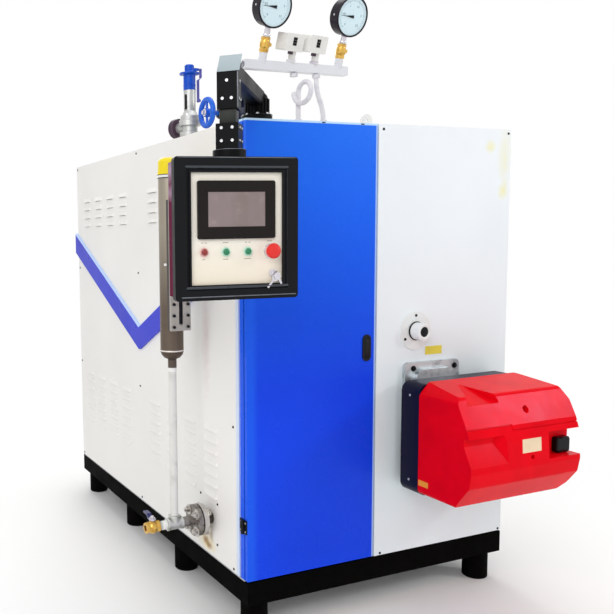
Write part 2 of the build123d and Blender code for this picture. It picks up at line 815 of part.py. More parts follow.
def touch_panel():
    """The touch panel with its recessed screen."""
    frame = Pos(0, TOUCH_UP) * RectangleRounded(TOUCH_W, TOUCH_H, 5)
    screen = Pos(0, TOUCH_UP + 1) * Rectangle(SCREEN_W, SCREEN_H)
    body = extrude(on_box(frame, -PLATE_SET), amount=6)
    return body - extrude(on_box(screen, -3), amount=2)


def pilot_lamps():
    """Three lamps in their rings."""
    ring, lens = LAMP_RING, LAMP_LENS
    profile = [(0, 0), (ring, 0), (ring, 3), (lens + 2, 4), (lens, 7), (0, 8)]
    lamps = []
    for x in LAMP_XS:
        at = BOX_FACE.from_local_coords((x, LAMP_ROW, -PLATE_SET))
        lamps.append(turned(profile, at, BOX_FACE.z_dir))
    return Compound(lamps)


def emergency_stop():
    """The red mushroom button on its stem, with room for its stroke behind it."""
    r = STOP_STEM
    low = STOP_STROKE + 0.5
    head = COLLAR_H + STOP_STROKE + 4
    wide = STOP_HEAD
    profile = [(0, low), (r, low), (r, head), (wide - 1, head + 2), (wide, head + 7),
               (wide - 3, head + 12), (r, head + 14), (0, head + 14.5)]
    at = BOX_FACE.from_local_coords((STOP_X, LAMP_ROW, -PLATE_SET))
    return turned(profile, at, BOX_FACE.z_dir)


def box_disc():
    """The turning disc on the box's top, with its spigot."""
    disc = rod(DISC_R, (DROP_X, DROP_Y, BOX_TOP), (0, 0, 1), DISC_H + BEZEL_INSET)
    front = BOX_FACE.from_local_coords((0, 0, -BEZEL_DEPTH))
    keep = Plane(origin=front, x_dir=BOX_FACE.x_dir, z_dir=BOX_FACE.z_dir)
    bezel = extrude(keep * Rectangle(BOX_W, BOX_H), amount=2 * DISC_R)
    top = BOX_TOP + DISC_H + BEZEL_INSET
    spigot = rod(SPIGOT_R, (DROP_X, DROP_Y, top), (0, 0, 1), SPIGOT_H)
    return disc - bezel + spigot


def arm_base():
    """The round flange on the roof with the pivot spigot."""
    flange = Cylinder(ARM_BASE_R, ARM_BASE_H, align=BASE)
    flange = chamfer(flange.faces().sort_by(Axis.Z)[-1].edges(), 2)
    spigot = Pos(0, 0, ARM_BASE_H) * Cylinder(SPIGOT_R, SPIGOT_H, align=BASE)
    return Pos(PIVOT[0], PIVOT[1], CAB_H) * (flange + spigot)


def arm_head():
    """The ribbed swivel head with its sloped shoulder."""
    low = ARM_BASE_H + SWIVEL_GAP
    top = ARM_Z[1]
    profile = [(0, low), (HEAD_R, low), (HEAD_R, HEAD_SHOULDER), (HEAD_R - 4, HEAD_SHOULDER + 10),
               (HEAD_TOP_R, top), (0, top)]
    head = turned(profile, (0, 0, 0), (0, 0, 1))
    rib = Pos(0, 0, low) * Box(2 * HEAD_RIB, HEAD_RIB, HEAD_SHOULDER - low, align=BASE)
    return head + [place * rib for place in PolarLocations(HEAD_R, 20)]


def swing_arm():
    """The arm from its ribbed head to the tall elbow with its front facet."""
    low, top = ARM_Z
    half = ELBOW_W / 2
    beam = block(HEAD_TOP_R / 2, ARM_L, -ARM_W / 2, ARM_W / 2, low, top)
    beam = chamfer(beam.edges().filter_by(Axis.X), ARM_EDGE)
    elbow_low, elbow_top = ELBOW_Z
    back, drop = ELBOW_FACET
    side = Polygon(
        (ARM_L - half, elbow_low), (ARM_L + half, elbow_low), (ARM_L + half, elbow_top - drop),
        (ARM_L + half - back, elbow_top), (ARM_L - half, elbow_top), align=None,
    )
    elbow = extrude(Plane.XZ * side, amount=half, both=True)
    arm = arm_head() + beam + elbow
    socket = Cylinder(SPIGOT_R + PIN_PLAY, SPIGOT_H + 1, align=BASE)
    return ARM_SEAT * (arm - Pos(0, 0, ARM_BASE_H) * socket)


def arm_coupling():
    """The neck and clamp block under the elbow."""
    top = CAB_H + ELBOW_Z[0]
    block_low = BOX_TOP + BEZEL_INSET + DISC_H + SWIVEL_GAP
    block_top = top - NECK_H
    neck = block(-NECK_W / 2, NECK_W / 2, -NECK_W / 2, NECK_W / 2, block_top, top)
    half = COUPLING_W / 2
    clamp = block(-half, half, -half, half, block_low, block_top)
    clamp -= rod(SPIGOT_R + PIN_PLAY, (0, 0, block_low), (0, 0, 1), SPIGOT_H + 1)
    return Pos(DROP_X, DROP_Y, 0) * Rot(0, 0, ARM_ANGLE) * (neck + clamp)


# Roof fittings

def safety_valve_body():
    """The nickel body with its inlet, outlet and spring housing."""
    neck, top = SAFETY_NECK, SAFETY_BODY
    profile = [
        (0, 0), (17, 0), (17, 12), (32, 12), (32, 24), (24, 26), (24, 42), (34, 44), (34, 60),
        (30, 62), (30, 74), (22, neck - 4), (SAFETY_R, neck), (SAFETY_R, top), (0, top),
    ]
    at = (*SAFETY_AT, CAB_H)
    body = turned(profile, at, (0, 0, 1))
    centre = (SAFETY_AT[0], SAFETY_AT[1], CAB_H + OUTLET_UP)
    return body + rod(17, centre, OUTLET_DIR, OUTLET_REACH)


def safety_outlet():
    """The ribbed dark flange on the valve's outlet."""
    away = Vector(OUTLET_DIR).normalized()
    centre = Vector(SAFETY_AT[0], SAFETY_AT[1], CAB_H + OUTLET_UP) + away * OUTLET_REACH
    stack = rod(OUTLET_R, centre, away, 6)
    for start in (6, 13):
        stack += rod(OUTLET_R - 3, centre + away * start, away, 2)
        stack += rod(OUTLET_R, centre + away * (start + 2), away, 5)
    return stack


def safety_valve_cap():
    """The blue bonnet, brim and cap."""
    low, brim, top = SAFETY_BODY, BRIM_UP, CAP_UP
    profile = [(0, low), (SAFETY_R, low), (SAFETY_R, brim - 2), (BRIM_R, brim),
               (BRIM_R, brim + 4), (CAP_R + 3, brim + 6), (CAP_R, brim + 10), (CAP_R, top - 3),
               (CAP_R - 3, top), (0, top)]
    cap = turned(profile, (*SAFETY_AT, CAB_H), (0, 0, 1))
    x, y = SAFETY_AT
    z = CAB_H + LIFT_UP
    for near, far in ((-9, -LIFT_HALF), (LIFT_HALF, 9)):
        cap += block(x, x + LIFT_OUT + 4, y + near, y + far, z - 4, z + 4)
    pin = rod(LIFT_PIN, (x + LIFT_OUT, y - 9, z), (0, 1, 0), 18)
    return cap + pin


def safety_lever():
    """The test lever on its pin beside the cap, bent in under the brim."""
    x, y = SAFETY_AT
    z = CAB_H + LIFT_UP
    half = LIFT_HALF - SEAT_GAP
    out = x + LIFT_OUT
    head = rod(LIFT_PIN + 2, (out, y - half, z), (0, 1, 0), 2 * half)
    head += block(out, out + 14, y - half, y + half, z - 1, z + LIFT_PIN + 2)
    side = Polygon(
        (13, LIFT_PIN + 2), (13, -22), (4, -30), (4, -LIFT_L), (8, -LIFT_L), (8, -31),
        (17, -23), (17, LIFT_PIN + 2), align=None,
    )
    strap = Plane(origin=(out, y, z), x_dir=(1, 0, 0), z_dir=(0, -1, 0)) * side
    strap = extrude(strap, amount=LIFT_STRAP / 2, both=True)
    grip = Plane(origin=(out + 8, y, z - LIFT_L), z_dir=(0, 1, 0)) * Cylinder(5, LIFT_STRAP)
    lever = head + strap + grip
    return lever - rod(LIFT_PIN + PIN_PLAY, (out, y - half, z), (0, 1, 0), 2 * half)


def steam_valve():
    """The upright steam stop valve with its flanges and side bonnet."""
    x, y = STEAM_AT
    z = CAB_H
    r = STEAM_FLANGE
    mid = STEAM_Z
    profile = [
        (0, 0), (18, 0), (18, 4), (r, 4), (r, 17), (r - 14, 17), (r - 14, 19), (r, 19), (r, 31),
        (19, 32), (22, 44), (34, mid - 16), (37, mid), (34, mid + 16), (22, mid + 26),
        (19, mid + 38), (r, mid + 39), (r, mid + 51), (0, mid + 51),
    ]
    body = turned(profile, (x, y, z), (0, 0, 1))
    centre = (x, y, z + mid)
    body += rod(22, centre, (-1, 0, 0), 66)
    body += rod(29, (x - 46, y, z + mid), (-1, 0, 0), 10)
    body += rod(GLAND_R, centre, (-1, 0, 0), BONNET_L)
    body -= rod(STEM_WHEEL + PIN_PLAY, (x - BONNET_L + 15, y, z + mid), (-1, 0, 0), 20)
    body -= rod(STEAM_BORE, (x, y, z + mid + 31), (0, 0, 1), 30)
    hole = Cylinder(STEAM_HOLE, 20)
    top = Plane(origin=(x, y, z + mid + 45))
    holes = [top * place * hole for place in PolarLocations(STEAM_PCD / 2, 4, start_angle=45)]
    return body - holes


def steam_handwheel():
    """The dished handwheel and its stem."""
    axis = (-1, 0, 0)
    x, y = STEAM_AT
    z = CAB_H + STEAM_Z
    hub_x = WHEEL_X + 8
    start = x - BONNET_L + 15 - SEAT_GAP
    stem = rod(STEM_WHEEL, (start, y, z), axis, start - hub_x + 4)
    hub = rod(13, (hub_x, y, z), axis, 16)
    seat = Plane(origin=(WHEEL_X, y, z), z_dir=axis)
    rim = seat * Torus(WHEEL_R - WHEEL_RIM, WHEEL_RIM)
    spoke = Pos((WHEEL_R - WHEEL_RIM) / 2, 0, 0) * Box(WHEEL_R - WHEEL_RIM, 8, 5)
    spokes = [seat * Rot(0, 0, 90 * i) * spoke for i in range(4)]
    return stem + hub + rim + spokes


def lean_dirs(yaw):
    """The directions along a leaning stem and out of its face, turned a little to the right."""
    lean, turn = radians(GAUGE_LEAN), radians(yaw)
    up = Vector(sin(turn) * sin(lean), -cos(turn) * sin(lean), cos(lean))
    out = Vector(sin(turn) * cos(lean), -cos(turn) * cos(lean), -sin(lean))
    return up, out


def leaning(x, along, yaw=GAUGE_YAW):
    """A point on the leaning stem over the bar at a place along it."""
    return Vector(x, BAR_Y, BAR_Z) + lean_dirs(yaw)[0] * along


def square_bar():
    half = BAR_SIZE / 2
    bar = block(*BAR_X, BAR_Y - half, BAR_Y + half, BAR_Z - half, BAR_Z + half)
    return bar - rod(BAR_HOLE, (BAR_X[0], BAR_Y, BAR_Z), (1, 0, 0), BAR_SIZE)


def gauge_manifold():
    """The square bar with its hollow left end and the fittings under the gauges."""
    up = lean_dirs(GAUGE_YAW)[0]
    bar = square_bar()
    for x in GAUGE_XS:
        bar += rod(FITTING_R, leaning(x, 0), up, COCK_ALONG[0])
    return bar


def pigtail():
    """The syphon with its one turn out to the front."""
    turn = radians(SYPHON_YAW)
    out = Vector(sin(turn), -cos(turn), 0)
    side = Vector(cos(turn), sin(turn), 0)
    start = Vector(SYPHON_X, BAR_Y, CAB_H + LOOP_UP)
    end = start + side * LOOP_PITCH
    helix = Helix(LOOP_PITCH, LOOP_PITCH, LOOP_R, lefthand=True)
    coil = sweep(Plane(origin=helix @ 0, z_dir=helix % 0) * Circle(RISER_R), path=helix)
    pipe = Plane(origin=start + out * LOOP_R, x_dir=-out, z_dir=side) * coil
    pipe += rod(RISER_R, start, (0, 0, 1), BAR_Z - BAR_SIZE / 2 - start.Z)
    pipe += rod(RISER_R, (end.X, end.Y, CAB_H), (0, 0, 1), LOOP_UP)
    pipe += [Pos(*place) * Sphere(RISER_R) for place in (start, end)]
    return pipe + rod(UNION_R, (end.X, end.Y, CAB_H), (0, 0, 1), UNION_H)


def bent_riser():
    """The plain riser, two straight ends joined by an even double bend."""
    start, end = RISER_X
    low = CAB_H
    top = BAR_Z - BAR_SIZE / 2
    z0, z1 = top - RISER_ENDS[0], low + RISER_ENDS[1]
    half = atan2(end - start, z0 - z1)
    radius = (z0 - z1) / (2 * sin(2 * half))
    dx, dz = radius * (1 - cos(half)), radius * sin(half)
    middle = Vector((start + end) / 2, BAR_Y, (z0 + z1) / 2)

    def point(x, z):
        return Vector(x, BAR_Y, z)

    path = Wire([
        Line(point(start, top), point(start, z0)),
        ThreePointArc(point(start, z0), point(start + dx, z0 - dz), middle),
        ThreePointArc(middle, point(end - dx, z1 + dz), point(end, z1)),
        Line(point(end, z1), point(end, low)),
    ])
    section = Plane(origin=point(start, top), z_dir=(0, 0, -1)) * Circle(RISER_R)
    return sweep(section, path=path) + rod(UNION_R, point(end, low), (0, 0, 1), UNION_H)


def gauge_cocks():
    """The brass cock with its side boss under each gauge."""
    up = lean_dirs(GAUGE_YAW)[0]
    low, high = COCK_ALONG
    r = COCK_R
    boss_r, boss_l = COCK_BOSS
    cocks = []
    for x in GAUGE_XS:
        profile = [(0, 0), (r, 0), (r, 10), (r + 2, 14), (r + 2, 26), (r, 30), (r - 2, high - low),
                   (0, high - low)]
        body = turned(profile, leaning(x, low), up)
        cocks.append(body + rod(boss_r, leaning(x, (low + high) / 2), (1, 0, 0), boss_l))
    return Compound(cocks)


def gauge_case(x, reach):
    """A dial gauge: rim, recessed dial and stepped back."""
    half = CASE_T / 2
    r = DIAL_R
    profile = [
        (0, -half), (r - 10, -half), (r - 4, 4 - half), (r - 4, half - 12), (r, half - 10),
        (r, half), (r - 1.5, half + 1.5), (r - DIAL_RIM, half + 1.5), (r - DIAL_RIM, half - 2),
        (0, half - 2),
    ]
    return turned(profile, leaning(x, reach), lean_dirs(GAUGE_YAW)[1])


def gauge_stubs():
    """The bright stub between each cock and its gauge."""
    up = lean_dirs(GAUGE_YAW)[0]
    stubs = []
    for x, reach in zip(GAUGE_XS, GAUGE_REACH):
        start = COCK_ALONG[1]
        stub = rod(STUB_R, leaning(x, start), up, reach - DIAL_R - start + GAUGE_TAIL)
        stubs.append(stub - gauge_case(x, reach))
    return Compound(stubs)


def pressure_switches():
    """Two white switch boxes on short stems from the bar."""
    wide, deep, tall = SWITCH_SIZE
    up, out = lean_dirs(SWITCH_YAW)
    window = Pos(0, 3) * Rectangle(*SWITCH_WINDOW)
    boxes = []
    for x in SWITCH_XS:
        centre = leaning(x, SWITCH_UP + tall / 2, SWITCH_YAW)
        side = up.cross(out)
        seat = Plane(origin=centre - side * SWITCH_SHIFT, x_dir=side, z_dir=out)
        box = extrude(seat * RectangleRounded(wide, tall, 4), amount=deep / 2, both=True)
        box -= extrude(seat.offset(deep / 2 - 3) * window, amount=4)
        stem = rod(SWITCH_STEM, leaning(x, 0, SWITCH_YAW), up, SWITCH_UP)
        boxes.append(box + (stem - square_bar()))
    return Compound(boxes)


def flue_collar():
    """The flue spigot at the rear of the roof."""
    at = (*FLUE_AT, CAB_H)
    collar = rod(FLUE_R + 25, at, (0, 0, 1), 5) + rod(FLUE_R, at, (0, 0, 1), FLUE_H)
    bore = rod(FLUE_R - FLUE_WALL, (*FLUE_AT, CAB_H + 5), (0, 0, 1), FLUE_H)
    return collar - bore


def water_inlet():
    """The feed-water socket low on the rear."""
    x, z = INLET_AT
    plate = rod(36, (x, REAR, z), (0, 1, 0), 4)
    socket = rod(17, (x, REAR, z), (0, 1, 0), 34)
    return plate + socket - rod(12, (x, REAR + 10, z), (0, 1, 0), 30)


NODES = {
    "feet": feet(),
    "left_skid_beam": side_beam(0),
    "right_skid_beam": side_beam(CAB_W - BEAM_W),
    "skid_cross_beams": cross_beams(),
    "floor_plate": floor_plate(),
    "left_side_panel": left_side_panel(),
    "left_louvres": louvres(left_face),
    "left_chevron": chevron(POST_END, 0, -1),
    "right_side_panel": right_side_panel(),
    "right_louvres": louvres(right_face),
    "right_chevron": chevron(PANEL_T, CAB_W, 1),
    "rear_panel": rear_panel(),
    "front_panel": front_panel(),
    "roof_panel": roof_panel(),
    "corner_post": corner_post(),
    "boiler_casing": boiler_casing(),
    "burner_bay": burner_bay(),
    "mounting_plate": mounting_plate(),
    "front_door": front_door(),
    "door_latch": door_latch(),
    "hinge_posts": hinge_posts(),
    "hinge_knuckles": hinge_knuckles(),
    "burner_flange": burner_flange(),
    "burner_back": burner_back(),
    "burner_cover": burner_cover(),
    "burner_knob": burner_knob(),
    "sight_port": sight_port(),
    "water_column": water_column(),
    "column_cap": column_cap(),
    "column_nozzles": column_nozzles(),
    "water_gauge": water_gauge(),
    "drain_pipe": drain_pipe(),
    "drain_tee": drain_tee(),
    "drain_valve": drain_valve(),
    "drain_lever": drain_lever(),
    "control_box": control_box(),
    "control_bezel": control_bezel(),
    "control_plate": control_plate(),
    "touch_panel": touch_panel(),
    "pilot_lamps": pilot_lamps(),
    "emergency_stop": emergency_stop(),
    "box_disc": box_disc(),
    "arm_base": arm_base(),
    "swing_arm": swing_arm(),
    "arm_coupling": arm_coupling(),
    "safety_valve_body": safety_valve_body(),
    "safety_outlet": safety_outlet(),
    "safety_valve_cap": safety_valve_cap(),
    "safety_lever": safety_lever(),
    "steam_valve": steam_valve(),
    "steam_handwheel": steam_handwheel(),
    "gauge_manifold": gauge_manifold(),
    "syphon_pipes": Compound([pigtail(), bent_riser()]),
    "gauge_cocks": gauge_cocks(),
    "gauge_stubs": gauge_stubs(),
    "pressure_gauges": Compound([gauge_case(x, reach) for x, reach in zip(GAUGE_XS, GAUGE_REACH)]),
    "pressure_switches": pressure_switches(),
    "flue_collar": flue_collar(),
    "water_inlet": water_inlet(),
}

for name, shape in NODES.items():
    export_step(ORIGIN * shape, f"parts/{name}.step")
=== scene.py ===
from math import cos, radians, sin, sqrt

import bpy
from mathutils import Matrix, Vector


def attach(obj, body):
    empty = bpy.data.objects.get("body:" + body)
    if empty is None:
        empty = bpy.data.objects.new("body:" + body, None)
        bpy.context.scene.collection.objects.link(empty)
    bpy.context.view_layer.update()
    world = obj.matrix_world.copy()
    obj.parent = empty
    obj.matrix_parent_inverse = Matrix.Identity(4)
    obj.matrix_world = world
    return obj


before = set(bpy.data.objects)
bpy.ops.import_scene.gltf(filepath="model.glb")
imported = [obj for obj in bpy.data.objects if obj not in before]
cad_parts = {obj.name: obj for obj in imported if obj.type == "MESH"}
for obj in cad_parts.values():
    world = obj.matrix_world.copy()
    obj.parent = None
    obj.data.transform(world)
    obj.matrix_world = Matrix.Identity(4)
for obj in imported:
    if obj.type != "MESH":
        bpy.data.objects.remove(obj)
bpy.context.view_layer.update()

# Sizes below are in millimetres from the cabinet's front left bottom corner, as in the
# drawing of the part, and at() turns them into metres in the model's frame.
CORNER = (-50, -50, 155)
CAB_W, CAB_D, CAB_H = 920, 1400, 1250
MM = 0.001


def at(x, y, z):
    """A point of the cabinet, in metres."""
    return Vector(((x + CORNER[0]) * MM, (y + CORNER[1]) * MM, (z + CORNER[2]) * MM))


# Where the pieces sit, in millimetres from the same corner.
PORT_X, PORT_Z = 565, 662            # the sight port's axis
COLUMN_X, COLUMN_Y = -120, 209       # the water column's axis
NOZZLES_Z = (118, 945)               # the column's lower and upper nozzle
DRAIN_VALVE_X = -190                 # the drain valve's stem
ARM_X, ARM_Y = 58, 40                # the arm's axis on the roof
BOX_X, BOX_Y = -187.5, -280.3        # the middle of the control box's front face
BAR_Y, BAR_Z = 110, 1411             # the manifold bar's centre line
GAUGES_X = (114.5, 365)              # the gauges' stems on the bar
SWITCHES_X = (206, 282.5)            # the switches' stems on the bar
SPINDLE_Y, SPINDLE_Z = 350, 1320     # the steam valve's spindle
SAFETY_X, SAFETY_Y = 65, 450         # the safety valve's axis
FLUE_X, FLUE_Y = 460, 1180           # the flue collar's axis
INLET_X, INLET_Z = 200, 300          # the feed-water socket's axis


# Camera: solved from the cabinet's corners, the skid, the door and the feet.

YAW, PITCH, ROLL = 0.377722, 0.0963513, -0.0194963
FOCAL_PX, CENTRE_PX, FRAME_PX = 762.8, (126.03, 311.41), 614
CAMERA_AT = (-1033.33, -1743.03, 948.48)


def add_camera():
    """The photograph's camera, with the shift that its cropped frame needs."""
    forward = Vector((sin(YAW), cos(YAW), 0))
    right = Vector((cos(YAW), -sin(YAW), 0))
    up = Vector((0, 0, 1))
    ahead = forward * cos(PITCH) - up * sin(PITCH)
    above = up * cos(PITCH) + forward * sin(PITCH)
    side = right * cos(ROLL) + above * sin(ROLL)
    top = above * cos(ROLL) - right * sin(ROLL)
    lens = bpy.data.cameras.new("camera")
    lens.sensor_width = 36
    lens.lens = FOCAL_PX / FRAME_PX * lens.sensor_width
    lens.shift_x = (FRAME_PX / 2 - CENTRE_PX[0]) / FRAME_PX
    lens.shift_y = (CENTRE_PX[1] - FRAME_PX / 2) / FRAME_PX
    camera = bpy.data.objects.new("camera", lens)
    bpy.context.collection.objects.link(camera)
    turn = Matrix((side, top, -ahead)).transposed().to_4x4()
    camera.matrix_world = Matrix.Translation(at(*CAMERA_AT)) @ turn
    bpy.context.scene.camera = camera


# Materials

def srgb(code):
    """A hex colour as linear values with alpha."""
    parts = [int(code[i:i + 2], 16) / 255 for i in (1, 3, 5)]
    return [p / 12.92 if p <= 0.04045 else ((p + 0.055) / 1.055) ** 2.4 for p in parts] + [1]


def dimmed(colour, share):
    """A linear colour at a share of its strength."""
    return [c * share for c in colour[:3]] + [1]


def put(tree, kind, inputs=(), **settings):
    """Adds a node with its settings. Its inputs, in order or by name, each take a value or
    another node's output."""
    node = tree.nodes.new("ShaderNode" + kind)
    for key, value in settings.items():
        setattr(node, key, value)
    for key, value in inputs.items() if isinstance(inputs, dict) else enumerate(inputs):
        if isinstance(value, bpy.types.NodeSocket):
            tree.links.new(value, node.inputs[key])
        else:
            node.inputs[key].default_value = value
    return node


def start(name, spec=0.5, metallic=0.0, coat=0.0):
    """A new material: its tree, its shader node and its object coordinates."""
    material = bpy.data.materials.new(name)
    material.use_nodes = True
    tree = material.node_tree
    shader = tree.nodes["Principled BSDF"]
    shader.inputs["Specular IOR Level"].default_value = spec
    shader.inputs["Metallic"].default_value = metallic
    shader.inputs["Coat Weight"].default_value = coat
    shader.inputs["Coat Roughness"].default_value = 0.06
    place = put(tree, "TexCoord").outputs["Object"]
    return material, tree, shader, place


def clouds(tree, place, size_mm, detail=2.0, stretch=(1, 1, 1)):
    """A cloudy pattern whose blobs are about size_mm across, drawn out along an axis if asked."""
    moved = put(tree, "Mapping", {"Vector": place, "Scale": stretch})
    return put(tree, "TexNoise", {"Vector": moved.outputs["Vector"], "Scale": 1000 / size_mm,
                                  "Detail": detail}).outputs["Fac"]


def laid(tree, tone, colour, pattern, low, high, share=1.0):
    """Lays a colour over a tone: none where the pattern is low, its full share where high."""
    mask = put(tree, "MapRange", (pattern, low, high, 0.0, share)).outputs[0]
    return put(tree, "Mix", {0: mask, 6: tone, 7: colour}, data_type="RGBA").outputs[2]


def banded(tree, place, tone, bands):
    """Lays soft-edged bands over a tone: axis, low and high edge, softness, colour, share."""
    parts = put(tree, "SeparateXYZ", (place,)).outputs
    for axis, low, high, soft, colour, share in bands:
        shift = CORNER["XYZ".index(axis)]
        low, high, soft = (low + shift) * MM, (high + shift) * MM, soft * MM
        rise = put(tree, "MapRange", (parts[axis], low - soft, low + soft, 0.0, share))
        fall = put(tree, "MapRange", (parts[axis], high - soft, high + soft, 1.0, 0.0))
        mask = put(tree, "Math", (rise.outputs[0], fall.outputs[0]), operation="MULTIPLY")
        tone = put(tree, "Mix", {0: mask.outputs[0], 6: tone, 7: srgb(colour)},
                   data_type="RGBA").outputs[2]
    return tone


def blotted(tree, place, tone, stains_and_painted_light):
    """Lays soft blots with ragged edges over a tone, as stains or as painted light: centre, reach,
    strength, colour.
    """
    for centre, reach, strength, colour in stains_and_painted_light:
        shift = put(tree, "VectorMath", (place, tuple(at(*centre))), operation="SUBTRACT")
        scaled = put(tree, "VectorMath",
                     (shift.outputs[0], tuple(1 / (size * MM) for size in reach)),
                     operation="MULTIPLY")
        far = put(tree, "VectorMath", (scaled.outputs[0],), operation="LENGTH")
        ragged = put(tree, "Math", (clouds(tree, place, 22, 4.0), 0.9), operation="MULTIPLY")
        total = put(tree, "Math", (far.outputs["Value"], ragged.outputs[0]), operation="ADD")
        mask = put(tree, "MapRange", (total.outputs[0], 0.4, 1.45, strength, 0.0))
        tone = put(tree, "Mix", {0: mask.outputs[0], 6: tone, 7: srgb(colour)},
                   data_type="RGBA").outputs[2]
    return tone


def painted_upward_highlight(tree, tone, colour):
    """Paints a highlight on the faces that look up, such as a bevel, in a second colour."""
    normal = put(tree, "NewGeometry").outputs["True Normal"]
    height = put(tree, "SeparateXYZ", (normal,)).outputs["Z"]
    return laid(tree, tone, srgb(colour), height, 0.3, 0.42)


def dusted(tree, place, tone, share):
    """Dust that thins out from the ground to half a metre up, in specks of about 25 mm."""
    height = put(tree, "SeparateXYZ", (place,)).outputs["Z"]
    low = put(tree, "MapRange", (height, 0.0, 0.5, share, 0.0)).outputs[0]
    speck = put(tree, "Math", (low, clouds(tree, place, 25, 6.0)), operation="MULTIPLY")
    return put(tree, "Mix", {0: speck.outputs[0], 6: tone, 7: srgb("#8d877e")},
               data_type="RGBA").outputs[2]


def glossed(tree, shader, pattern, low, high, least, most):
    """Lets a pattern vary a shader's roughness between two values."""
    gloss = put(tree, "MapRange", (pattern, low, high, least, most)).outputs[0]
    tree.links.new(gloss, shader.inputs["Roughness"])


def bumped(tree, shader, height, strength, distance):
    """Gives a shader its relief."""
    bump = put(tree, "Bump", {"Strength": strength, "Distance": distance, "Height": height})
    tree.links.new(bump.outputs["Normal"], shader.inputs["Normal"])


def enamel(name, colour, rough=0.32, peel=3.0, coat=0.0, spec=0.5, drift=0.05, bands=(),
           stains_and_painted_light=(), dust=0.0, bevel=None):
    """Sprayed or powder-coated steel: a smooth film with faint orange peel and a slow
    drift of tone, with the marks that hands, rust and dust leave on it, and with painted
    highlights, reflections and shade laid on as bands and blots."""
    material, tree, shader, place = start(name, spec, 0.0, coat)
    base = srgb(colour)
    tone = laid(tree, base, dimmed(base, 1 - 2 * drift), clouds(tree, place, 380, 3.0),
                0.35, 0.65)
    tone = banded(tree, place, tone, bands)
    # A bevel colour is a painted highlight on the faces that look up.
    if bevel:
        tone = painted_upward_highlight(tree, tone, bevel)
    tone = blotted(tree, place, tone, stains_and_painted_light)
    if dust:
        tone = dusted(tree, place, tone, dust)
    tree.links.new(tone, shader.inputs["Base Color"])
    glossed(tree, shader, clouds(tree, place, 90, 4.0), 0.3, 0.7, rough * 0.85, rough * 1.15)
    bumped(tree, shader, clouds(tree, place, peel, 1.0), 0.12, 0.0004)
    return material


# Real brushing lines are about 0.1 mm apart, too fine to show, so they are drawn coarser.
BRUSHED_LINE_MM = 1.2


def brushed(name, colour, rough=0.3, stretch=(1, 1, 0.02), shade=0.75, metallic=1.0, spec=0.5,
            bands=()):
    """Drawn or brushed metal: fine lines along one axis that vary its tone and gloss."""
    material, tree, shader, place = start(name, spec, metallic)
    lines = clouds(tree, place, BRUSHED_LINE_MM, 3.0, stretch)
    base = srgb(colour)
    dark = dimmed(base, shade)
    tone = laid(tree, base, dark, lines, 0.3, 0.7)
    tone = laid(tree, tone, dark, clouds(tree, place, 120, 3.0), 0.4, 0.8, 0.45)
    tree.links.new(banded(tree, place, tone, bands), shader.inputs["Base Color"])
    glossed(tree, shader, lines, 0.25, 0.75, rough * 0.75, rough * 1.3)
    bumped(tree, shader, lines, 0.2, 0.0002)
    return material


def cast(name, colour, rough, metallic, grain, depth, patch, spec=0.5, spread=28, bands=()):
    """Cast, forged or plated metal, bare or painted: a fine skin with patches of a second
    colour about spread millimetres across."""
    material, tree, shader, place = start(name, spec, metallic)
    skin = clouds(tree, place, grain, 5.0)
    tone = laid(tree, srgb(colour), srgb(patch), clouds(tree, place, spread, 5.0),
                0.48, 0.72, 0.8)
    tree.links.new(banded(tree, place, tone, bands), shader.inputs["Base Color"])
    glossed(tree, shader, skin, 0.3, 0.7, rough * 0.8, rough * 1.2)
    bumped(tree, shader, skin, depth, 0.0006)
    return material


def moulded(name, colour, rough=0.35, grain=0.8, depth=0.06, spec=0.5, drift=0.04, clear=0.0,
            tint="#ffffff"):
    """Injection-moulded plastic: an even colour with a fine grain from the mould. The real
    grain is about 0.1 mm, too fine to show, so it is drawn coarser."""
    material, tree, shader, place = start(name, spec)
    base = srgb(colour)
    tone = laid(tree, base, dimmed(base, 1 - 3 * drift), clouds(tree, place, 70, 3.0), 0.35, 0.7)
    tree.links.new(tone, shader.inputs["Base Color"])
    glossed(tree, shader, clouds(tree, place, 30, 4.0), 0.3, 0.7, rough * 0.85, rough * 1.2)
    bumped(tree, shader, clouds(tree, place, grain, 2.0), depth, 0.0003)
    shader.inputs["Transmission Weight"].default_value = clear
    shader.inputs["Specular Tint"].default_value = srgb(tint)
    return material


def display_glass():
    """Coated glass over a dark display: a dull painted reflection of a warm, uneven room in its
    colour, with smears.
    """
    material, tree, shader, place = start("display_glass", 0.4, 0.0, 0.25)
    wide = clouds(tree, place, 75, 3.0, (1, 1, 0.5))
    smear = clouds(tree, place, 26, 5.0, (0.7, 1, 1))
    # Painted reflection: warm greys stand in place of the dark display.
    tone = laid(tree, srgb("#7a6e66"), srgb("#877779"), wide, 0.38, 0.62)
    tone = laid(tree, tone, srgb("#a08e88"), smear, 0.52, 0.7, 0.4)
    tree.links.new(tone, shader.inputs["Base Color"])
    glossed(tree, shader, smear, 0.3, 0.7, 0.12, 0.3)
    return material


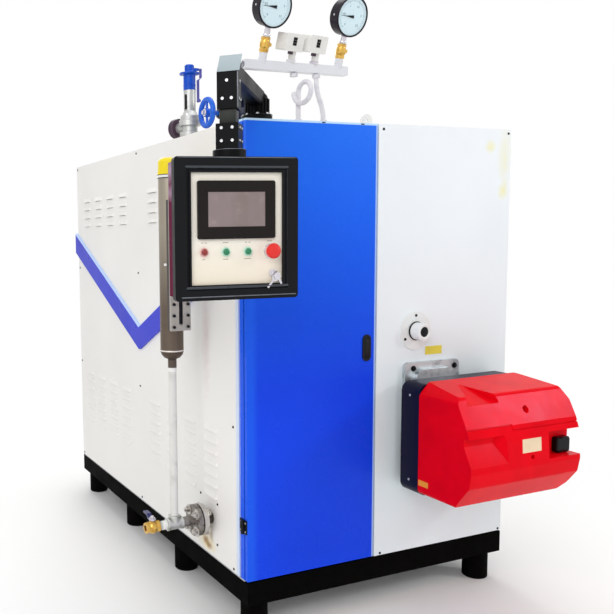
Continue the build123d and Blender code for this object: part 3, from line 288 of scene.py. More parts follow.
paint = {
    # Steel sheet, powder coated warm white: a soft low gloss, rust under the drain flange, a
    # painted pink reflection beside the column, and a painted pale-blue highlight along the front
    # edge.
    "side": enamel("white_powder_coat", "#f1efec", 0.45, spec=0.25, drift=0.02, bands=(
        # Painted highlight: a pale-blue band along the front edge.
        ("Y", 30, 58, 3, "#cbdcf8", 0.85),
    ), stains_and_painted_light=(
        # Painted reflection: a faint pink smear beside the column.
        ((0, 231, 652), (30, 34, 190), 0.55, "#d6c0c2"),
        ((0, 232, 33), (30, 62, 38), 0.8, "#ecd27e"),
        ((0, 243, 38), (30, 24, 17), 1.0, "#8c5710"),
        ((0, 221, 27), (30, 22, 16), 1.0, "#8c5710"),
        ((0, 208, 74), (30, 16, 40), 0.8, "#a38d72"),
    )),
    # The same coat on the other sheets: soft, even and clean.
    "back": enamel("rear_powder_coat", "#edece8", 0.45, spec=0.25, drift=0.02),
    # The same coat on the front sheet: cooler, with old yellow runs at its top right and a
    # painted green-blue reflection over its lower part.
    "front": enamel("front_powder_coat", "#eef3f7", 0.42, spec=0.25, drift=0.02, bands=(
        # Painted reflection: a green-blue cast over the lower part of the sheet.
        ("Z", -20, 560, 200, "#e4f0f2", 0.7),
    ), stains_and_painted_light=(
        ((838, 0, 1196), (26, 20, 22), 0.8, "#efe9a0"),
        ((893, 0, 1068), (24, 20, 30), 0.8, "#efe9a0"),
        ((896, 0, 1170), (30, 20, 110), 0.55, "#ebe7b6"),
    )),
    # Blue powder coat on folded steel: a clear satin, with painted light: lighter towards the
    # top, a painted reflection along the left edge and corner post, and painted highlights
    # along the right and top folded edges.
    "door": enamel("blue_powder_coat", "#0f45ec", 0.28, spec=0.12, bands=(
        # Painted light: the top made lighter, and a painted reflection at the left edge.
        ("Z", 950, 2000, 420, "#1f76f6", 0.95), ("X", -20, 26, 9, "#1f66f4", 0.6),
        # Painted highlights: pale bands along the right and top folded edges.
        ("X", 416.5, 500, 0.6, "#b0cffa", 0.8), ("Z", 1244.5, 2000, 0.8, "#bfe0fb", 1.0),
    )),
    # Violet-blue sprayed enamel: an even satin stripe with a painted pale highlight on its upper
    # bevel.
    "stripe": enamel("violet_blue_enamel", "#333ccf", 0.32, spec=0.12, bevel="#bcd2fb"),
    # Black chassis paint: dead matt, so the beams read as one dark band, a little dusty.
    "skid": enamel("black_chassis_paint", "#040404", 0.6, peel=4.0, spec=0.01, dust=0.015),
    # Grey primer on steel: flat and even.
    "inside": enamel("grey_primer", "#b9bbbd", 0.6),
    # Maroon sprayed enamel: nearly matt, with painted lilac-white highlights along its upper left
    # edge.
    "box": enamel("maroon_enamel", "#661a3a", 0.6, spec=0.03, stains_and_painted_light=(
        # Painted highlights on the box's left side, near its top.
        ((-322, -225, 1094), (80, 90, 40), 0.9, "#b79db4"),
        ((-322, -225, 1044), (80, 90, 20), 0.8, "#b79db4"),
    )),
    # Black satin paint on aluminium: dark, with soft light along the arm's edges.
    "arm": enamel("black_satin_paint", "#0b0c0e", 0.4, peel=1.5, spec=0.07),
    # Grey-green satin paint: a lighter, duller band at the arm's neck.
    "neck": enamel("grey_green_neck_paint", "#2f322e", 0.45, peel=1.5, spec=0.15),
    # Plate brushed sideways and lacquered: fine level lines, warmer towards its lower edge.
    "plate": brushed("brushed_panel_plate", "#f4eee2", 0.45, (0.02, 1, 1), shade=0.96,
                     metallic=0.1, spec=0.3, bands=(("Z", 700, 870, 60, "#eedfc6", 0.8),)),
    # White paint on a turned casting: clean and softly lit.
    "port": enamel("white_port_paint", "#eceeee", 0.4, spec=0.3),
    # White paint on square tube: cooler than the sheets, with a faint shine.
    "manifold": enamel("white_bar_paint", "#dfe0e6", 0.35, spec=0.4),
    # Grey-white paint over threaded pipe: blotchy, with the nipple under the column left brown.
    "pipe": cast("grey_pipe_paint", "#dddcd8", 0.4, 0.0, 6.0, 0.2, "#c3c4be", spec=0.3, spread=34,
                 bands=(("Z", 578, 640, 0.5, "#54483f", 1.0),)),
    # Navy sprayed casting: almost black, with blue where the light falls.
    "navy": enamel("navy_casting_paint", "#0d0d28", 0.35, spec=0.12),
    # Blue enamel over cast iron: a lightly pitted skin, deeper in patches.
    "cap": cast("blue_cap_enamel", "#1650c2", 0.35, 0.0, 3.5, 0.25, "#103592", spec=0.2),
    # Navy enamel over cast iron: dark, pitted and dull.
    "valve": cast("navy_valve_enamel", "#1d2440", 0.4, 0.0, 3.5, 0.3, "#121630", spec=0.3),
    # Blue enamel over a cast wheel: brighter, and darker where the film is thin.
    "wheel": cast("blue_wheel_enamel", "#2264d6", 0.3, 0.0, 3.5, 0.2, "#152c86", spec=0.25,
                  spread=34),
    # Violet enamel on a forged lever: a thin, even film.
    "lift": enamel("violet_lever_enamel", "#5a55b4", 0.35, spec=0.4),
    # Navy vinyl dipped over a steel lever: a thick, wet gloss.
    "lever": enamel("navy_lever_sleeve", "#171d5e", 0.3, spec=0.5, coat=0.3),
}
metal = {
    # Drawn stainless tube gone brown with heat: upright lines, lighter and more olive above,
    # dark at its foot, with a painted highlight as a thin pale ring above the dark foot.
    "column": brushed("drawn_stainless", "#6c5f54", 0.4, (1, 1, 0.02), shade=0.86, metallic=0.7,
                      spec=0.2, bands=(
        ("Z", 860, 2000, 110, "#a0988a", 0.9), ("Z", 560, 626, 3, "#52453d", 0.8),
        # Painted highlight: a thin pale ring round the column's foot.
        ("Z", 626, 629.6, 0.6, "#efe9e2", 0.9),
    )),
    # Rolled stainless sheet: pale, with upright lines.
    "flue": brushed("rolled_stainless", "#c4c4c0", 0.35, (1, 1, 0.05)),
    # Bent steel pipe under a thin pale paint: smooth, with a violet drift.
    "syphon": cast("painted_syphon_pipe", "#dddce1", 0.35, 0.0, 4.0, 0.08, "#c9c3d0"),
    # Nickel-plated brass casting: a soft grey sheen.
    "nickel": cast("nickel_plated_brass", "#bfc0be", 0.42, 0.6, 5.0, 0.1, "#a2a3a2"),
    # Bright nickel over turned parts: small sharp highlights.
    "bright": cast("bright_nickel", "#d9d6dc", 0.22, 0.8, 5.0, 0.06, "#b9b2bd"),
    # Forged and turned brass: warm yellow, browner in small patches.
    "brass": cast("brass", "#deb45c", 0.32, 0.9, 4.0, 0.12, "#a5762c", spread=16),
    # Forged flanges gone brown: dark scale, a dark line between the flanges, a pale band on the
    # inner flange, and painted shadow on the stub behind them.
    "steel": cast("blackened_forging", "#958f89", 0.38, 0.8, 2.5, 0.35, "#2c241e", spread=12,
                  bands=(("X", -46.5, -42.5, 0.3, "#171412", 0.9),
                         ("X", -42.5, -27, 0.8, "#d3cfca", 0.85),
                         # Painted shadow: the stub behind the flanges is darkened.
                         ("X", -27, 2, 0.8, "#39322f", 0.85))),
    # Zinc-plated bolts that have begun to rust: pale, with brown spots.
    "flange_bolt": cast("rusted_bolt", "#d0cbc5", 0.35, 0.8, 2.0, 0.3, "#3b2d25", spread=7),
    # Machined cover plate: pale in front, and dark from 158 mm back.
    "gauge": cast("gauge_cover_plate", "#aaa59e", 0.42, 0.5, 2.5, 0.2, "#8f8880",
                  bands=(("Y", 158, 400, 0.6, "#2f2725", 0.95),)),
    # Die-cast aluminium: a grey, faintly mottled skin.
    "alloy": cast("die_cast_alloy", "#c6cccf", 0.34, 0.8, 2.0, 0.25, "#858b90"),
    # Malleable iron fitting, dipped in zinc: grey, with duller islands.
    "tee": cast("zinc_coated_fitting", "#c6c7c3", 0.36, 0.9, 6.0, 0.15, "#83837b", spread=18),
    # Galvanised sheet: a bare grey with faint spangle.
    "zinc": cast("zinc_plate", "#c6c9ca", 0.38, 1.0, 9.0, 0.08, "#a7abad"),
    # Zinc-plated screws: small bright heads.
    "screw": cast("zinc_screw", "#c4c5c6", 0.3, 1.0, 3.0, 0.1, "#95979a"),
    # Black-oxide steel: dark heads with a dull sheen.
    "dark_screw": cast("black_oxide", "#222226", 0.4, 0.7, 3.0, 0.1, "#111114", spec=0.2),
    # Anodised aluminium trim: a thin grey line along an edge; on the bezel's outer edges and the
    # elbow's edge the same grey line is a painted highlight.
    "trim_and_highlight": cast("grey_trim_and_edge_highlight", "#70747a", 0.35, 0.6, 4.0, 0.06, "#565a60"),
}
plastic = {
    # Moulded ABS: a glossy deep red whose highlights turn pink.
    "red": moulded("burner_cover_abs", "#ec0617", 0.2, 1.4, 0.04, spec=0.05, tint="#ff8ee0"),
    # Smoked polycarbonate: black and glossy.
    "lens": moulded("smoked_lens", "#0b0c10", 0.12, spec=0.15),
    # Polyethylene cap: a soft, waxy yellow.
    "cap": moulded("yellow_cap_pe", "#f4dc20", 0.42, 1.6, spec=0.3),
    # Moulded polyamide frame: charcoal with a visible grain.
    "bezel": moulded("bezel_profile", "#17181b", 0.38, 0.9, 0.1, spec=0.1),
    # Polished bead of the same frame: a lighter line round the plate, its grey partly a painted
    # highlight along the frame's step.
    "bead": moulded("bezel_bead", "#34383f", 0.3, 0.9, 0.06, spec=0.4),
    # Moulded ABS surround: a brownish black, fairly smooth.
    "touch": moulded("touch_panel_front", "#1b1715", 0.3, spec=0.15),
    # Moulded polyamide button: an even, slightly orange red.
    "stop": moulded("stop_button_red", "#e5342f", 0.36, spec=0.3),
    # Moulded ABS housing: an off-white with soft corners.
    "white": moulded("switch_housing", "#e9e8e4", 0.4, spec=0.3),
    # Moulded nylon: a plain soft black.
    "black": moulded("black_nylon", "#151517", 0.45, spec=0.2),
    # A matt grey film in a hood's mouth, read as the gap's shadow.
    "shade": moulded("louvre_shadow_gap", "#9d9a96", 0.7, spec=0.1),
    # Printed aluminium dial: a flat, pale blue-white.
    "dial": moulded("dial_face", "#d8eef6", 0.5, spec=0.2, drift=0.01),
    # Printing ink, thin on the dial: a faint blue-grey.
    "print": moulded("faint_dial_print", "#6f8790", 0.5, spec=0.2),
    # Lacquered needle: a flat black that stands out from the dial.
    "ink": moulded("needle_black", "#14161b", 0.5, spec=0.2),
    # Stove-enamelled gauge case: a glossy black with a violet cast.
    "case": moulded("gauge_case_black", "#170c1b", 0.22, spec=0.22),
    # Vinyl films: thin, smooth and bare, in yellow, cream and orange.
    "sticker": moulded("yellow_label_film", "#ecd94e", 0.4, spec=0.3),
    "cream": moulded("cream_label_film", "#f2d9b6", 0.4, spec=0.3),
    "orange": moulded("orange_label_film", "#f39a2a", 0.4, spec=0.3),
    # Paint in an engraved line: a matt brown-grey dash.
    "dash": moulded("engraved_dash", "#a89c8b", 0.6, spec=0.2),
    # Wound PTFE tape: a chalky white with a ribbed skin.
    "tape": moulded("thread_tape", "#f1f1ee", 0.55, 1.2, 0.3, spec=0.3),
    # Nitrile rubber: a dull, slightly rough black.
    "rubber": moulded("nitrile_gasket", "#1c1c1e", 0.7, 1.5, 0.2, spec=0.2),
    # Plastic-coated flange: a dusty brown-violet.
    "outlet": moulded("outlet_flange_coat", "#4a3547", 0.4, 2.0, 0.15, spec=0.4),
    # Moulded cover on the elbow's slope: a flat, pale grey-green.
    "facet": moulded("pale_facet_cover", "#a5b3b8", 0.45, spec=0.15),
    # Dyed polycarbonate flanges: pale rings round the lamps, pink and mint.
    "pink": moulded("pink_lamp_flange", "#f2b9b0", 0.3),
    "mint": moulded("mint_lamp_flange", "#b4ecd2", 0.3),
    # Acrylic lenses: deep colour with a little light passing through.
    "red_lens": moulded("red_acrylic_lens", "#9a2f2c", 0.2, clear=0.1),
    "green_lens": moulded("green_acrylic_lens", "#23895c", 0.2, clear=0.1),
}

NODE_FINISH = {
    "feet": paint["skid"], "left_skid_beam": paint["skid"], "right_skid_beam": paint["skid"],
    "skid_cross_beams": paint["skid"], "floor_plate": paint["inside"],
    "left_side_panel": paint["side"], "left_louvres": paint["side"],
    "left_chevron": paint["stripe"], "right_side_panel": paint["back"],
    "right_louvres": paint["back"], "right_chevron": paint["stripe"],
    "rear_panel": paint["back"], "front_panel": paint["front"], "roof_panel": paint["back"],
    "corner_post": paint["door"], "boiler_casing": paint["inside"],
    "burner_bay": paint["inside"], "mounting_plate": metal["zinc"],
    "front_door": paint["door"], "door_latch": plastic["black"],
    "hinge_posts": metal["dark_screw"], "hinge_knuckles": metal["dark_screw"],
    "burner_flange": metal["alloy"], "burner_back": paint["navy"],
    "burner_cover": plastic["red"], "burner_knob": plastic["lens"],
    "sight_port": paint["port"], "water_column": metal["column"],
    "column_cap": plastic["cap"], "column_nozzles": metal["steel"],
    "water_gauge": metal["gauge"], "drain_pipe": paint["pipe"], "drain_tee": metal["tee"],
    "drain_valve": metal["brass"], "drain_lever": paint["lever"],
    "control_box": paint["box"], "control_bezel": plastic["bezel"],
    "control_plate": paint["plate"], "touch_panel": plastic["touch"],
    "pilot_lamps": metal["bright"], "emergency_stop": plastic["stop"],
    "box_disc": paint["arm"], "arm_base": paint["arm"], "swing_arm": paint["arm"],
    "arm_coupling": paint["arm"], "safety_valve_body": metal["nickel"],
    "safety_outlet": plastic["outlet"], "safety_valve_cap": paint["cap"],
    "safety_lever": paint["lift"], "steam_valve": paint["valve"],
    "steam_handwheel": paint["wheel"], "gauge_manifold": paint["manifold"],
    "syphon_pipes": metal["syphon"], "gauge_cocks": metal["brass"],
    "gauge_stubs": metal["bright"], "pressure_gauges": plastic["case"],
    "pressure_switches": plastic["white"], "flue_collar": metal["flue"],
    "water_inlet": paint["pipe"],
}


# Modelling tools

def clear():
    """Leaves nothing selected."""
    bpy.ops.object.select_all(action="DESELECT")


def only(piece):
    """Selects one piece and makes it active."""
    clear()
    piece.select_set(True)
    bpy.context.view_layer.objects.active = piece


def turned_to(direction):
    """The rotation that stands a piece's Z axis along a direction."""
    return Vector(direction).to_track_quat("Z", "Y").to_euler()


def settle(piece):
    """Moves a piece's place, turn and size into its mesh."""
    only(piece)
    bpy.ops.object.transform_apply(location=True, rotation=True, scale=True)
    return piece


def drum(radius, depth, start_at=(0, 0, 0), toward=(0, 0, 1), sides=32):
    """A cylinder in millimetres that starts at a point and runs along a direction."""
    clear()
    middle = Vector(start_at) + Vector(toward).normalized() * (depth * MM / 2)
    bpy.ops.mesh.primitive_cylinder_add(vertices=sides, radius=radius * MM, depth=depth * MM,
                                        location=middle, rotation=turned_to(toward))
    return settle(bpy.context.active_object)


def slab(low, high):
    """A box between two corners, in metres."""
    clear()
    low, high = Vector(low), Vector(high)
    bpy.ops.mesh.primitive_cube_add(size=1, location=(low + high) / 2)
    piece = bpy.context.active_object
    piece.scale = high - low
    return settle(piece)


def plate(wide, tall, thick):
    """A flat box in millimetres on the XY plane, centred, that rises along Z."""
    return slab(Vector((-wide / 2, -tall / 2, 0)) * MM, Vector((wide / 2, tall / 2, thick)) * MM)


def loop(major, minor, centre, toward, sides=48, minor_sides=10):
    """A ring in millimetres at a point around a direction."""
    clear()
    bpy.ops.mesh.primitive_torus_add(major_segments=sides, minor_segments=minor_sides,
                                     major_radius=major * MM, minor_radius=minor * MM,
                                     location=centre, rotation=turned_to(toward))
    return settle(bpy.context.active_object)


def edit(piece, test, *steps):
    """Selects the faces that pass a test of centre and normal, and runs edit-mode steps."""
    only(piece)
    bpy.context.tool_settings.mesh_select_mode = (False, False, True)
    bpy.ops.object.mode_set(mode="EDIT")
    bpy.ops.mesh.select_all(action="DESELECT")
    bpy.ops.object.mode_set(mode="OBJECT")
    for face in piece.data.polygons:
        face.select = test(face.center, face.normal)
    bpy.ops.object.mode_set(mode="EDIT")
    for step in steps:
        step()
    bpy.ops.object.mode_set(mode="OBJECT")
    return piece


def faces_along(direction, limit=0.9):
    """A test for faces that look along a direction."""
    ahead = Vector(direction).normalized()
    return lambda centre, normal: normal.dot(ahead) > limit


def inset(thickness, depth=0.0):
    """A step, in millimetres, that insets the selected faces and may push or sink them."""
    return lambda: bpy.ops.mesh.inset(thickness=thickness * MM, depth=depth * MM)


def rounded(piece, width, segments=2, angle=35):
    """Rounds a piece's sharp edges with a bevel modifier that is then applied."""
    only(piece)
    bevel = piece.modifiers.new("edge", "BEVEL")
    bevel.width = width * MM
    bevel.segments = segments
    bevel.limit_method = "ANGLE"
    bevel.angle_limit = radians(angle)
    bpy.ops.object.modifier_apply(modifier=bevel.name)
    return piece


def joined(pieces):
    """Joins pieces into the first of them."""
    if len(pieces) == 1:
        return pieces[0]
    clear()
    for piece in pieces:
        piece.select_set(True)
    bpy.context.view_layer.objects.active = pieces[0]
    bpy.ops.object.join()
    return bpy.context.active_object


def stood(piece, origin, direction, spin=0.0):
    """Stands a piece built at the origin along Z on a point, turned about its own axis."""
    turn = turned_to(direction).to_matrix().to_4x4() @ Matrix.Rotation(spin, 4, "Z")
    piece.data.transform(Matrix.Translation(Vector(origin)) @ turn)
    return piece


def around(count, radius, first=0.0):
    """Points evenly spaced round a circle in millimetres, the first at an angle in degrees."""
    angles = [radians(first + 360 * i / count) for i in range(count)]
    return [(radius * cos(angle), radius * sin(angle)) for angle in angles]


def copies(template, places):
    """Copies a piece built at the origin along Z to points and directions, and joins them."""
    made = []
    for point, direction in places:
        twin = template.copy()
        twin.data = template.data.copy()
        bpy.context.collection.objects.link(twin)
        made.append(stood(twin, point, direction))
    whole = joined(made)
    bpy.data.objects.remove(template)
    return whole


def finish(piece, name, body, material, smooth=32):
    """Names a piece, gives it its material and smoothing, and says what it rides on."""
    only(piece)
    piece.name = piece.data.name = name
    piece.data.materials.clear()
    piece.data.materials.append(material)
    bpy.ops.object.shade_smooth_by_angle(angle=radians(smooth))
    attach(piece, body)
    return piece


# Fasteners, each built once along Z from its seat, in millimetres

def hex_bolt(across, head, washer=True, stud=0.0):
    """A hex head with a chamfered top, on a washer, with a stud's end if asked."""
    parts = []
    low = 0.0
    if washer:
        parts.append(rounded(drum(across * 0.95, across * 0.14, sides=24), across * 0.03, 1))
        low = across * 0.14
    nut = drum(across / sqrt(3), head, (0, 0, low * MM), sides=6)
    parts.append(edit(nut, faces_along((0, 0, 1)), inset(across * 0.07, across * 0.05)))
    if stud:
        end = drum(across * 0.3, stud, (0, 0, (low + head) * MM), sides=16)
        parts.append(edit(end, faces_along((0, 0, 1)), inset(across * 0.06, across * 0.05)))
    return joined(parts)


def socket_screw(radius, head):
    """A cap screw: a round head with a rounded rim and a sunk socket."""
    piece = drum(radius, head, sides=20)
    edit(piece, faces_along((0, 0, 1)), inset(radius * 0.16, radius * 0.1),
         inset(radius * 0.3), inset(0.0, -head * 0.6))
    return piece


def dome_screw(radius, head):
    """A pan-head screw with a domed top and a driver's recess."""
    piece = drum(radius, head * 0.5, sides=20)
    edit(piece, faces_along((0, 0, 1)), inset(radius * 0.28, head * 0.35),
         inset(radius * 0.28, head * 0.12), inset(radius * 0.12), inset(0.0, -head * 0.3))
    return piece


def collar(radius, height, round_off=0.8):
    """A short round band, closed at both ends, with rounded rims."""
    return rounded(drum(radius, height, sides=48), round_off, 2)


# Pieces

def dress_nodes():
    """Gives every node of the frame its finish."""
    for name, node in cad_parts.items():
        for slot in node.material_slots:
            slot.material = NODE_FINISH[name]


def panel_screws():
    """The screws that hold the sheets, black domed heads in rows."""
    rows, heights = (74, 736, 1385), (13, 421, 824, 1238)
    left = [(at(0, y, z), (-1, 0, 0)) for y in rows for z in heights]
    left += [(at(0, y, z), (-1, 0, 0)) for y, z in ((273, 173), (168, 170), (170, 47), (273, 47))]
    right = [(at(CAB_W, y, z), (1, 0, 0)) for y in rows for z in heights]
    rear = [(at(x, CAB_D, z), (0, 1, 0)) for x in (40, 460, 880) for z in heights]
    front = [(at(x, 0, z), (0, -1, 0)) for x, z in ((442, 1236), (909, 1238), (447, 10), (909, 10))]
    roof = [(at(x, y, CAB_H), (0, 0, 1)) for x in (40, 460, 880) for y in (760, 1350)]
    roof += [(at(x, y, CAB_H), (0, 0, 1)) for x, y in ((40, 170), (880, 40), (880, 400))]
    for name, places in (("left_panel_screws", left), ("right_panel_screws", right),
                         ("rear_panel_screws", rear), ("front_panel_screws", front),
                         ("roof_screws", roof)):
        piece = copies(dome_screw(3.6, 2.4), places)
        finish(piece, name, "boiler", metal["dark_screw"])


def louvre_mouths():
    """The shadow gap along the mouth of each pressed hood."""
    ys = [206 + 133 * i for i in range(4)] + [872 + 133 * i for i in range(4)]
    zs = [1111 - 33 * i for i in range(4)] + [396 - 33 * i for i in range(7)]
    for side, x, out in (("left", 0, -1), ("right", CAB_W, 1)):
        gap = edit(plate(48, 2.0, 0.5), faces_along((0, 0, 1)), inset(0.4, -0.15))
        places = [(at(x, y, z - 15.6), (out, 0, 0)) for y in ys for z in zs]
        finish(copies(gap, places), side + "_louvre_gaps", "boiler",
               plastic["shade"])


def skid_details():
    """Weld beads round the feet."""
    beads = [(at(x, 50 + i * 1300 / 3, -65), (0, 0, 1)) for x in (50, CAB_W - 50)
             for i in range(4)]
    finish(copies(loop(38, 2.2, (0, 0, 0), (0, 0, 1), 40, 8), beads), "foot_welds", "boiler",
           paint["skid"])


def door_details():
    """Latch paddle and key barrel, hinge screws, seal, top edge plugs and plate bolts."""
    x, z = 390, 624
    paddle = rounded(slab(at(x - 7, -3.6, z - 22), at(x + 7, -1.05, z + 26)), 1.6, 3)
    key = drum(5.5, 2.4, at(x, -1.05, z - 25.5), (0, -1, 0), 24)
    edit(key, faces_along((0, -1, 0)), inset(1.2), inset(1.0, -1.2))
    finish(paddle, "latch_paddle", "door", plastic["black"])
    finish(key, "latch_key_barrel", "door", metal["dark_screw"])
    post, leaf = [], []
    for middle in (158, CAB_H - 158):
        for dz in (-12, 12):
            post.append((at(-4, 28, middle + dz), (-1, 0, 0)))
            leaf.append((at(-4, 4.6, middle + dz), (-1, 0, 0)))
    finish(copies(dome_screw(2.6, 1.6), post), "hinge_post_screws", "boiler",
           metal["screw"])
    finish(copies(dome_screw(2.6, 1.6), leaf), "hinge_leaf_screws", "door",
           metal["screw"])
    seal = [slab(at(3, 7, 9), at(11, 11.4, 1245)), slab(at(410, 7, 9), at(418, 11.4, 1245)),
            slab(at(3, 7, 9), at(418, 11.4, 17)), slab(at(3, 7, 1237), at(418, 11.4, 1245))]
    finish(rounded(joined(seal), 1.4, 2), "door_seal", "door",
           plastic["rubber"])
    plugs = [(at(241, 0, 1246.8), (0, -1, 0)), (at(370, 0, 1246.8), (0, -1, 0))]
    plug = edit(plate(11, 2.8, 0.6), faces_along((0, 0, 1)), inset(0.6, 0.3))
    finish(copies(plug, plugs), "door_edge_plugs", "door", plastic["black"])
    corners = [(at(px, 247, pz), (0, -1, 0)) for px in (75, 376) for pz in (175, 1085)]
    finish(copies(hex_bolt(10, 5), corners), "plate_bolts", "boiler",
           metal["screw"])


def burner_details():
    """Bolts on the flange, the cover's screw and button, screws on the back."""
    bolts = [(at(x, -12, z), (0, -1, 0)) for x, z in ((550, 553), (704, 551), (538, 380),
                                                      (704, 380))]
    finish(copies(hex_bolt(9, 5), bolts), "burner_flange_bolts", "boiler",
           metal["dark_screw"])
    finish(copies(socket_screw(7, 6), [(at(715, -239, 465), (0, -1, 0))]), "cover_screw",
           "boiler", plastic["red"])
    finish(copies(socket_screw(5.2, 4), [(at(710, -269, 342), (0, -1, 0))]), "reset_button",
           "boiler", plastic["lens"])
    back = [(at(492, -64, z), (-1, 0, 0)) for z in (246, 490)]
    finish(copies(dome_screw(3.4, 2.5), back), "burner_back_screws", "boiler",
           metal["screw"])


def labels():
    """Bare label films: on the cover's nose, its left side and the front sheet."""
    nose = slab(at(673, -0.3, 356), at(741, 0.3, 393))
    for vertex in nose.data.vertices:
        share = (vertex.co.z - at(0, 0, 356).z) / (37 * MM)
        vertex.co.y += (-286.9 + 2.4 * share) * MM
    finish(rounded(nose, 0.25, 1), "cover_blank_label", "boiler",
           plastic["cream"])
    side = rounded(slab(at(491.4, -139, 240), at(492, -102, 256)), 0.25, 1)
    finish(side, "cover_side_label", "boiler", plastic["orange"])
    sheet = slab(at(603, -0.6, 588), at(666, 0, 613))
    edit(rounded(sheet, 0.25, 1), faces_along((0, -1, 0)), inset(3.0, -0.1))
    finish(sheet, "front_blank_label", "boiler", plastic["sticker"])


def port_details():
    """The sight port's screws, a dark ring at its tube's root, its recessed glass and its rim."""
    spots = [(at(PORT_X + dx, -3, PORT_Z + dz), (0, -1, 0)) for dx, dz in around(3, 45, 90)]
    finish(copies(dome_screw(4.0, 2.6), spots), "sight_port_screws", "boiler",
           metal["dark_screw"])
    # A dark ring where the tube's root meets the plate.
    finish(loop(25, 2.6, at(PORT_X, -5.2, PORT_Z), (0, -1, 0)), "sight_port_root_ring", "boiler",
           plastic["rubber"])
    finish(stood(collar(14.8, 3, 0.6), at(PORT_X, -33, PORT_Z), (0, -1, 0)), "sight_glass",
           "boiler", plastic["lens"])
    finish(loop(20, 2.2, at(PORT_X, -37.6, PORT_Z), (0, -1, 0)), "sight_port_rim", "boiler",
           paint["port"])


def column_details():
    """Cap band, weld bead, thread tape, clip, gauge bolts and glass, flange bolts and nuts."""
    x, y = COLUMN_X, COLUMN_Y
    finish(stood(collar(34.2, 7), at(x, y, 1112), (0, 0, 1)), "cap_band", "boiler",
           plastic["tape"])
    dark = [loop(34.2, 0.9, at(x, y, z), (0, 0, 1), 56, 8) for z in (1111, 1120)]
    finish(joined(dark), "cap_band_lines", "boiler", plastic["black"])
    finish(loop(33, 1.1, at(x, y, 700), (0, 0, 1), 56, 8), "column_weld", "boiler",
           metal["column"])
    tapes = [stood(collar(12.8, 11), at(x, y, 566), (0, 0, 1)),
             stood(collar(12.9, 16), at(-161, y, NOZZLES_Z[0]), (1, 0, 0))]
    finish(joined(tapes), "thread_tape", "boiler", plastic["tape"])
    clip = rounded(plate(9, 7, 6), 1.6, 2)
    finish(stood(clip, at(-150, 174, 872), (-1, -0.3, 0)), "column_clip", "boiler",
           plastic["tape"])
    spots = [(at(x + side, 148, 700 + 31.5 * i), (0, -1, 0)) for i in range(11)
             for side in (-21.2, 21.2)]
    finish(copies(hex_bolt(8, 4, washer=False), spots), "gauge_bolts", "boiler",
           metal["dark_screw"])
    strip = rounded(slab(at(x - 5.4, 150.5, 708), at(x + 5.4, 154.4, 1030)), 0.8, 2)
    finish(strip, "gauge_glass", "boiler", plastic["lens"])
    pairs = [(y + dy, z + dz) for z in NOZZLES_Z for dy, dz in around(4, 36, 45)]
    finish(copies(hex_bolt(16, 9, stud=4), [(at(-60, py, pz), (-1, 0, 0)) for py, pz in pairs]),
           "flange_bolts", "boiler", metal["flange_bolt"])
    finish(copies(hex_bolt(16, 9, stud=2), [(at(-28, py, pz), (1, 0, 0)) for py, pz in pairs]),
           "flange_nuts", "boiler", metal["flange_bolt"])


def drain_details():
    """The tee's collars, the valve's packing nut, the lever's hub and nut."""
    x, y, z = DRAIN_VALVE_X, COLUMN_Y, NOZZLES_Z[0]
    rings = [stood(collar(18.6, 7, 1.5), at(-145, y, z), (1, 0, 0)),
             stood(collar(18.6, 7, 1.5), at(-102, y, z), (1, 0, 0)),
             stood(collar(18.6, 7, 1.5), at(COLUMN_X, y, z + 18), (0, 0, 1))]
    finish(joined(rings), "tee_collars", "boiler", metal["tee"])
    packing = copies(hex_bolt(15, 6, washer=False), [(at(x, y, z + 12.4), (0, 0, 1))])
    finish(packing, "valve_packing_nut", "boiler", metal["brass"])
    hub = stood(collar(9.8, 6), at(x, y, z + 20.6), (0, 0, 1))
    nut = copies(hex_bolt(9, 5), [(at(x, y, z + 26.8), (0, 0, 1))])
    finish(joined([hub, nut]), "lever_hub", "drain_handle", metal["bright"])


# The control box, in its own face's right, up and outward directions

BOX_TURN = radians(7.4)
BOX_RIGHT = Vector((cos(BOX_TURN), -sin(BOX_TURN), 0))
BOX_OUT = Vector((-sin(BOX_TURN), -cos(BOX_TURN), 0))
BOX_MIDDLE = at(BOX_X, BOX_Y, 963.4)


def box_point(u, v, out):
    """A point of the control box's front face, in metres."""
    return BOX_MIDDLE + (BOX_RIGHT * u + Vector((0, 0, v)) + BOX_OUT * out) * MM


def on_box(piece, u, v, out, spin=0.0):
    """Sets a piece built on the XY plane on the control box's face."""
    face = Matrix((BOX_RIGHT, Vector((0, 0, 1)), BOX_OUT)).transposed().to_4x4()
    turn = face @ Matrix.Rotation(radians(spin), 4, "Z")
    piece.data.transform(Matrix.Translation(box_point(u, v, out)) @ turn)
    return piece


def box_bar(u0, v0, u1, v1, out, radius):
    """A round-ended bar along the control box's face."""
    start_at, end = box_point(u0, v0, out), box_point(u1, v1, out)
    bar = drum(radius, (end - start_at).length / MM, start_at, end - start_at, 16)
    return rounded(bar, radius * 0.5, 2, 60)


def flat_key(long):
    """A flat key along -Y from its bow: a pierced head, a neck and a blade."""
    bow = drum(8, 2, sides=24)
    edit(bow, faces_along((0, 0, 1)), inset(2.2, 0.4), inset(2.0), inset(0.0, -1.0))
    blade = rounded(slab(Vector((-2.4, -long, 0.2)) * MM, Vector((2.4, -6, 1.8)) * MM), 0.5, 2)
    return joined([bow, blade])


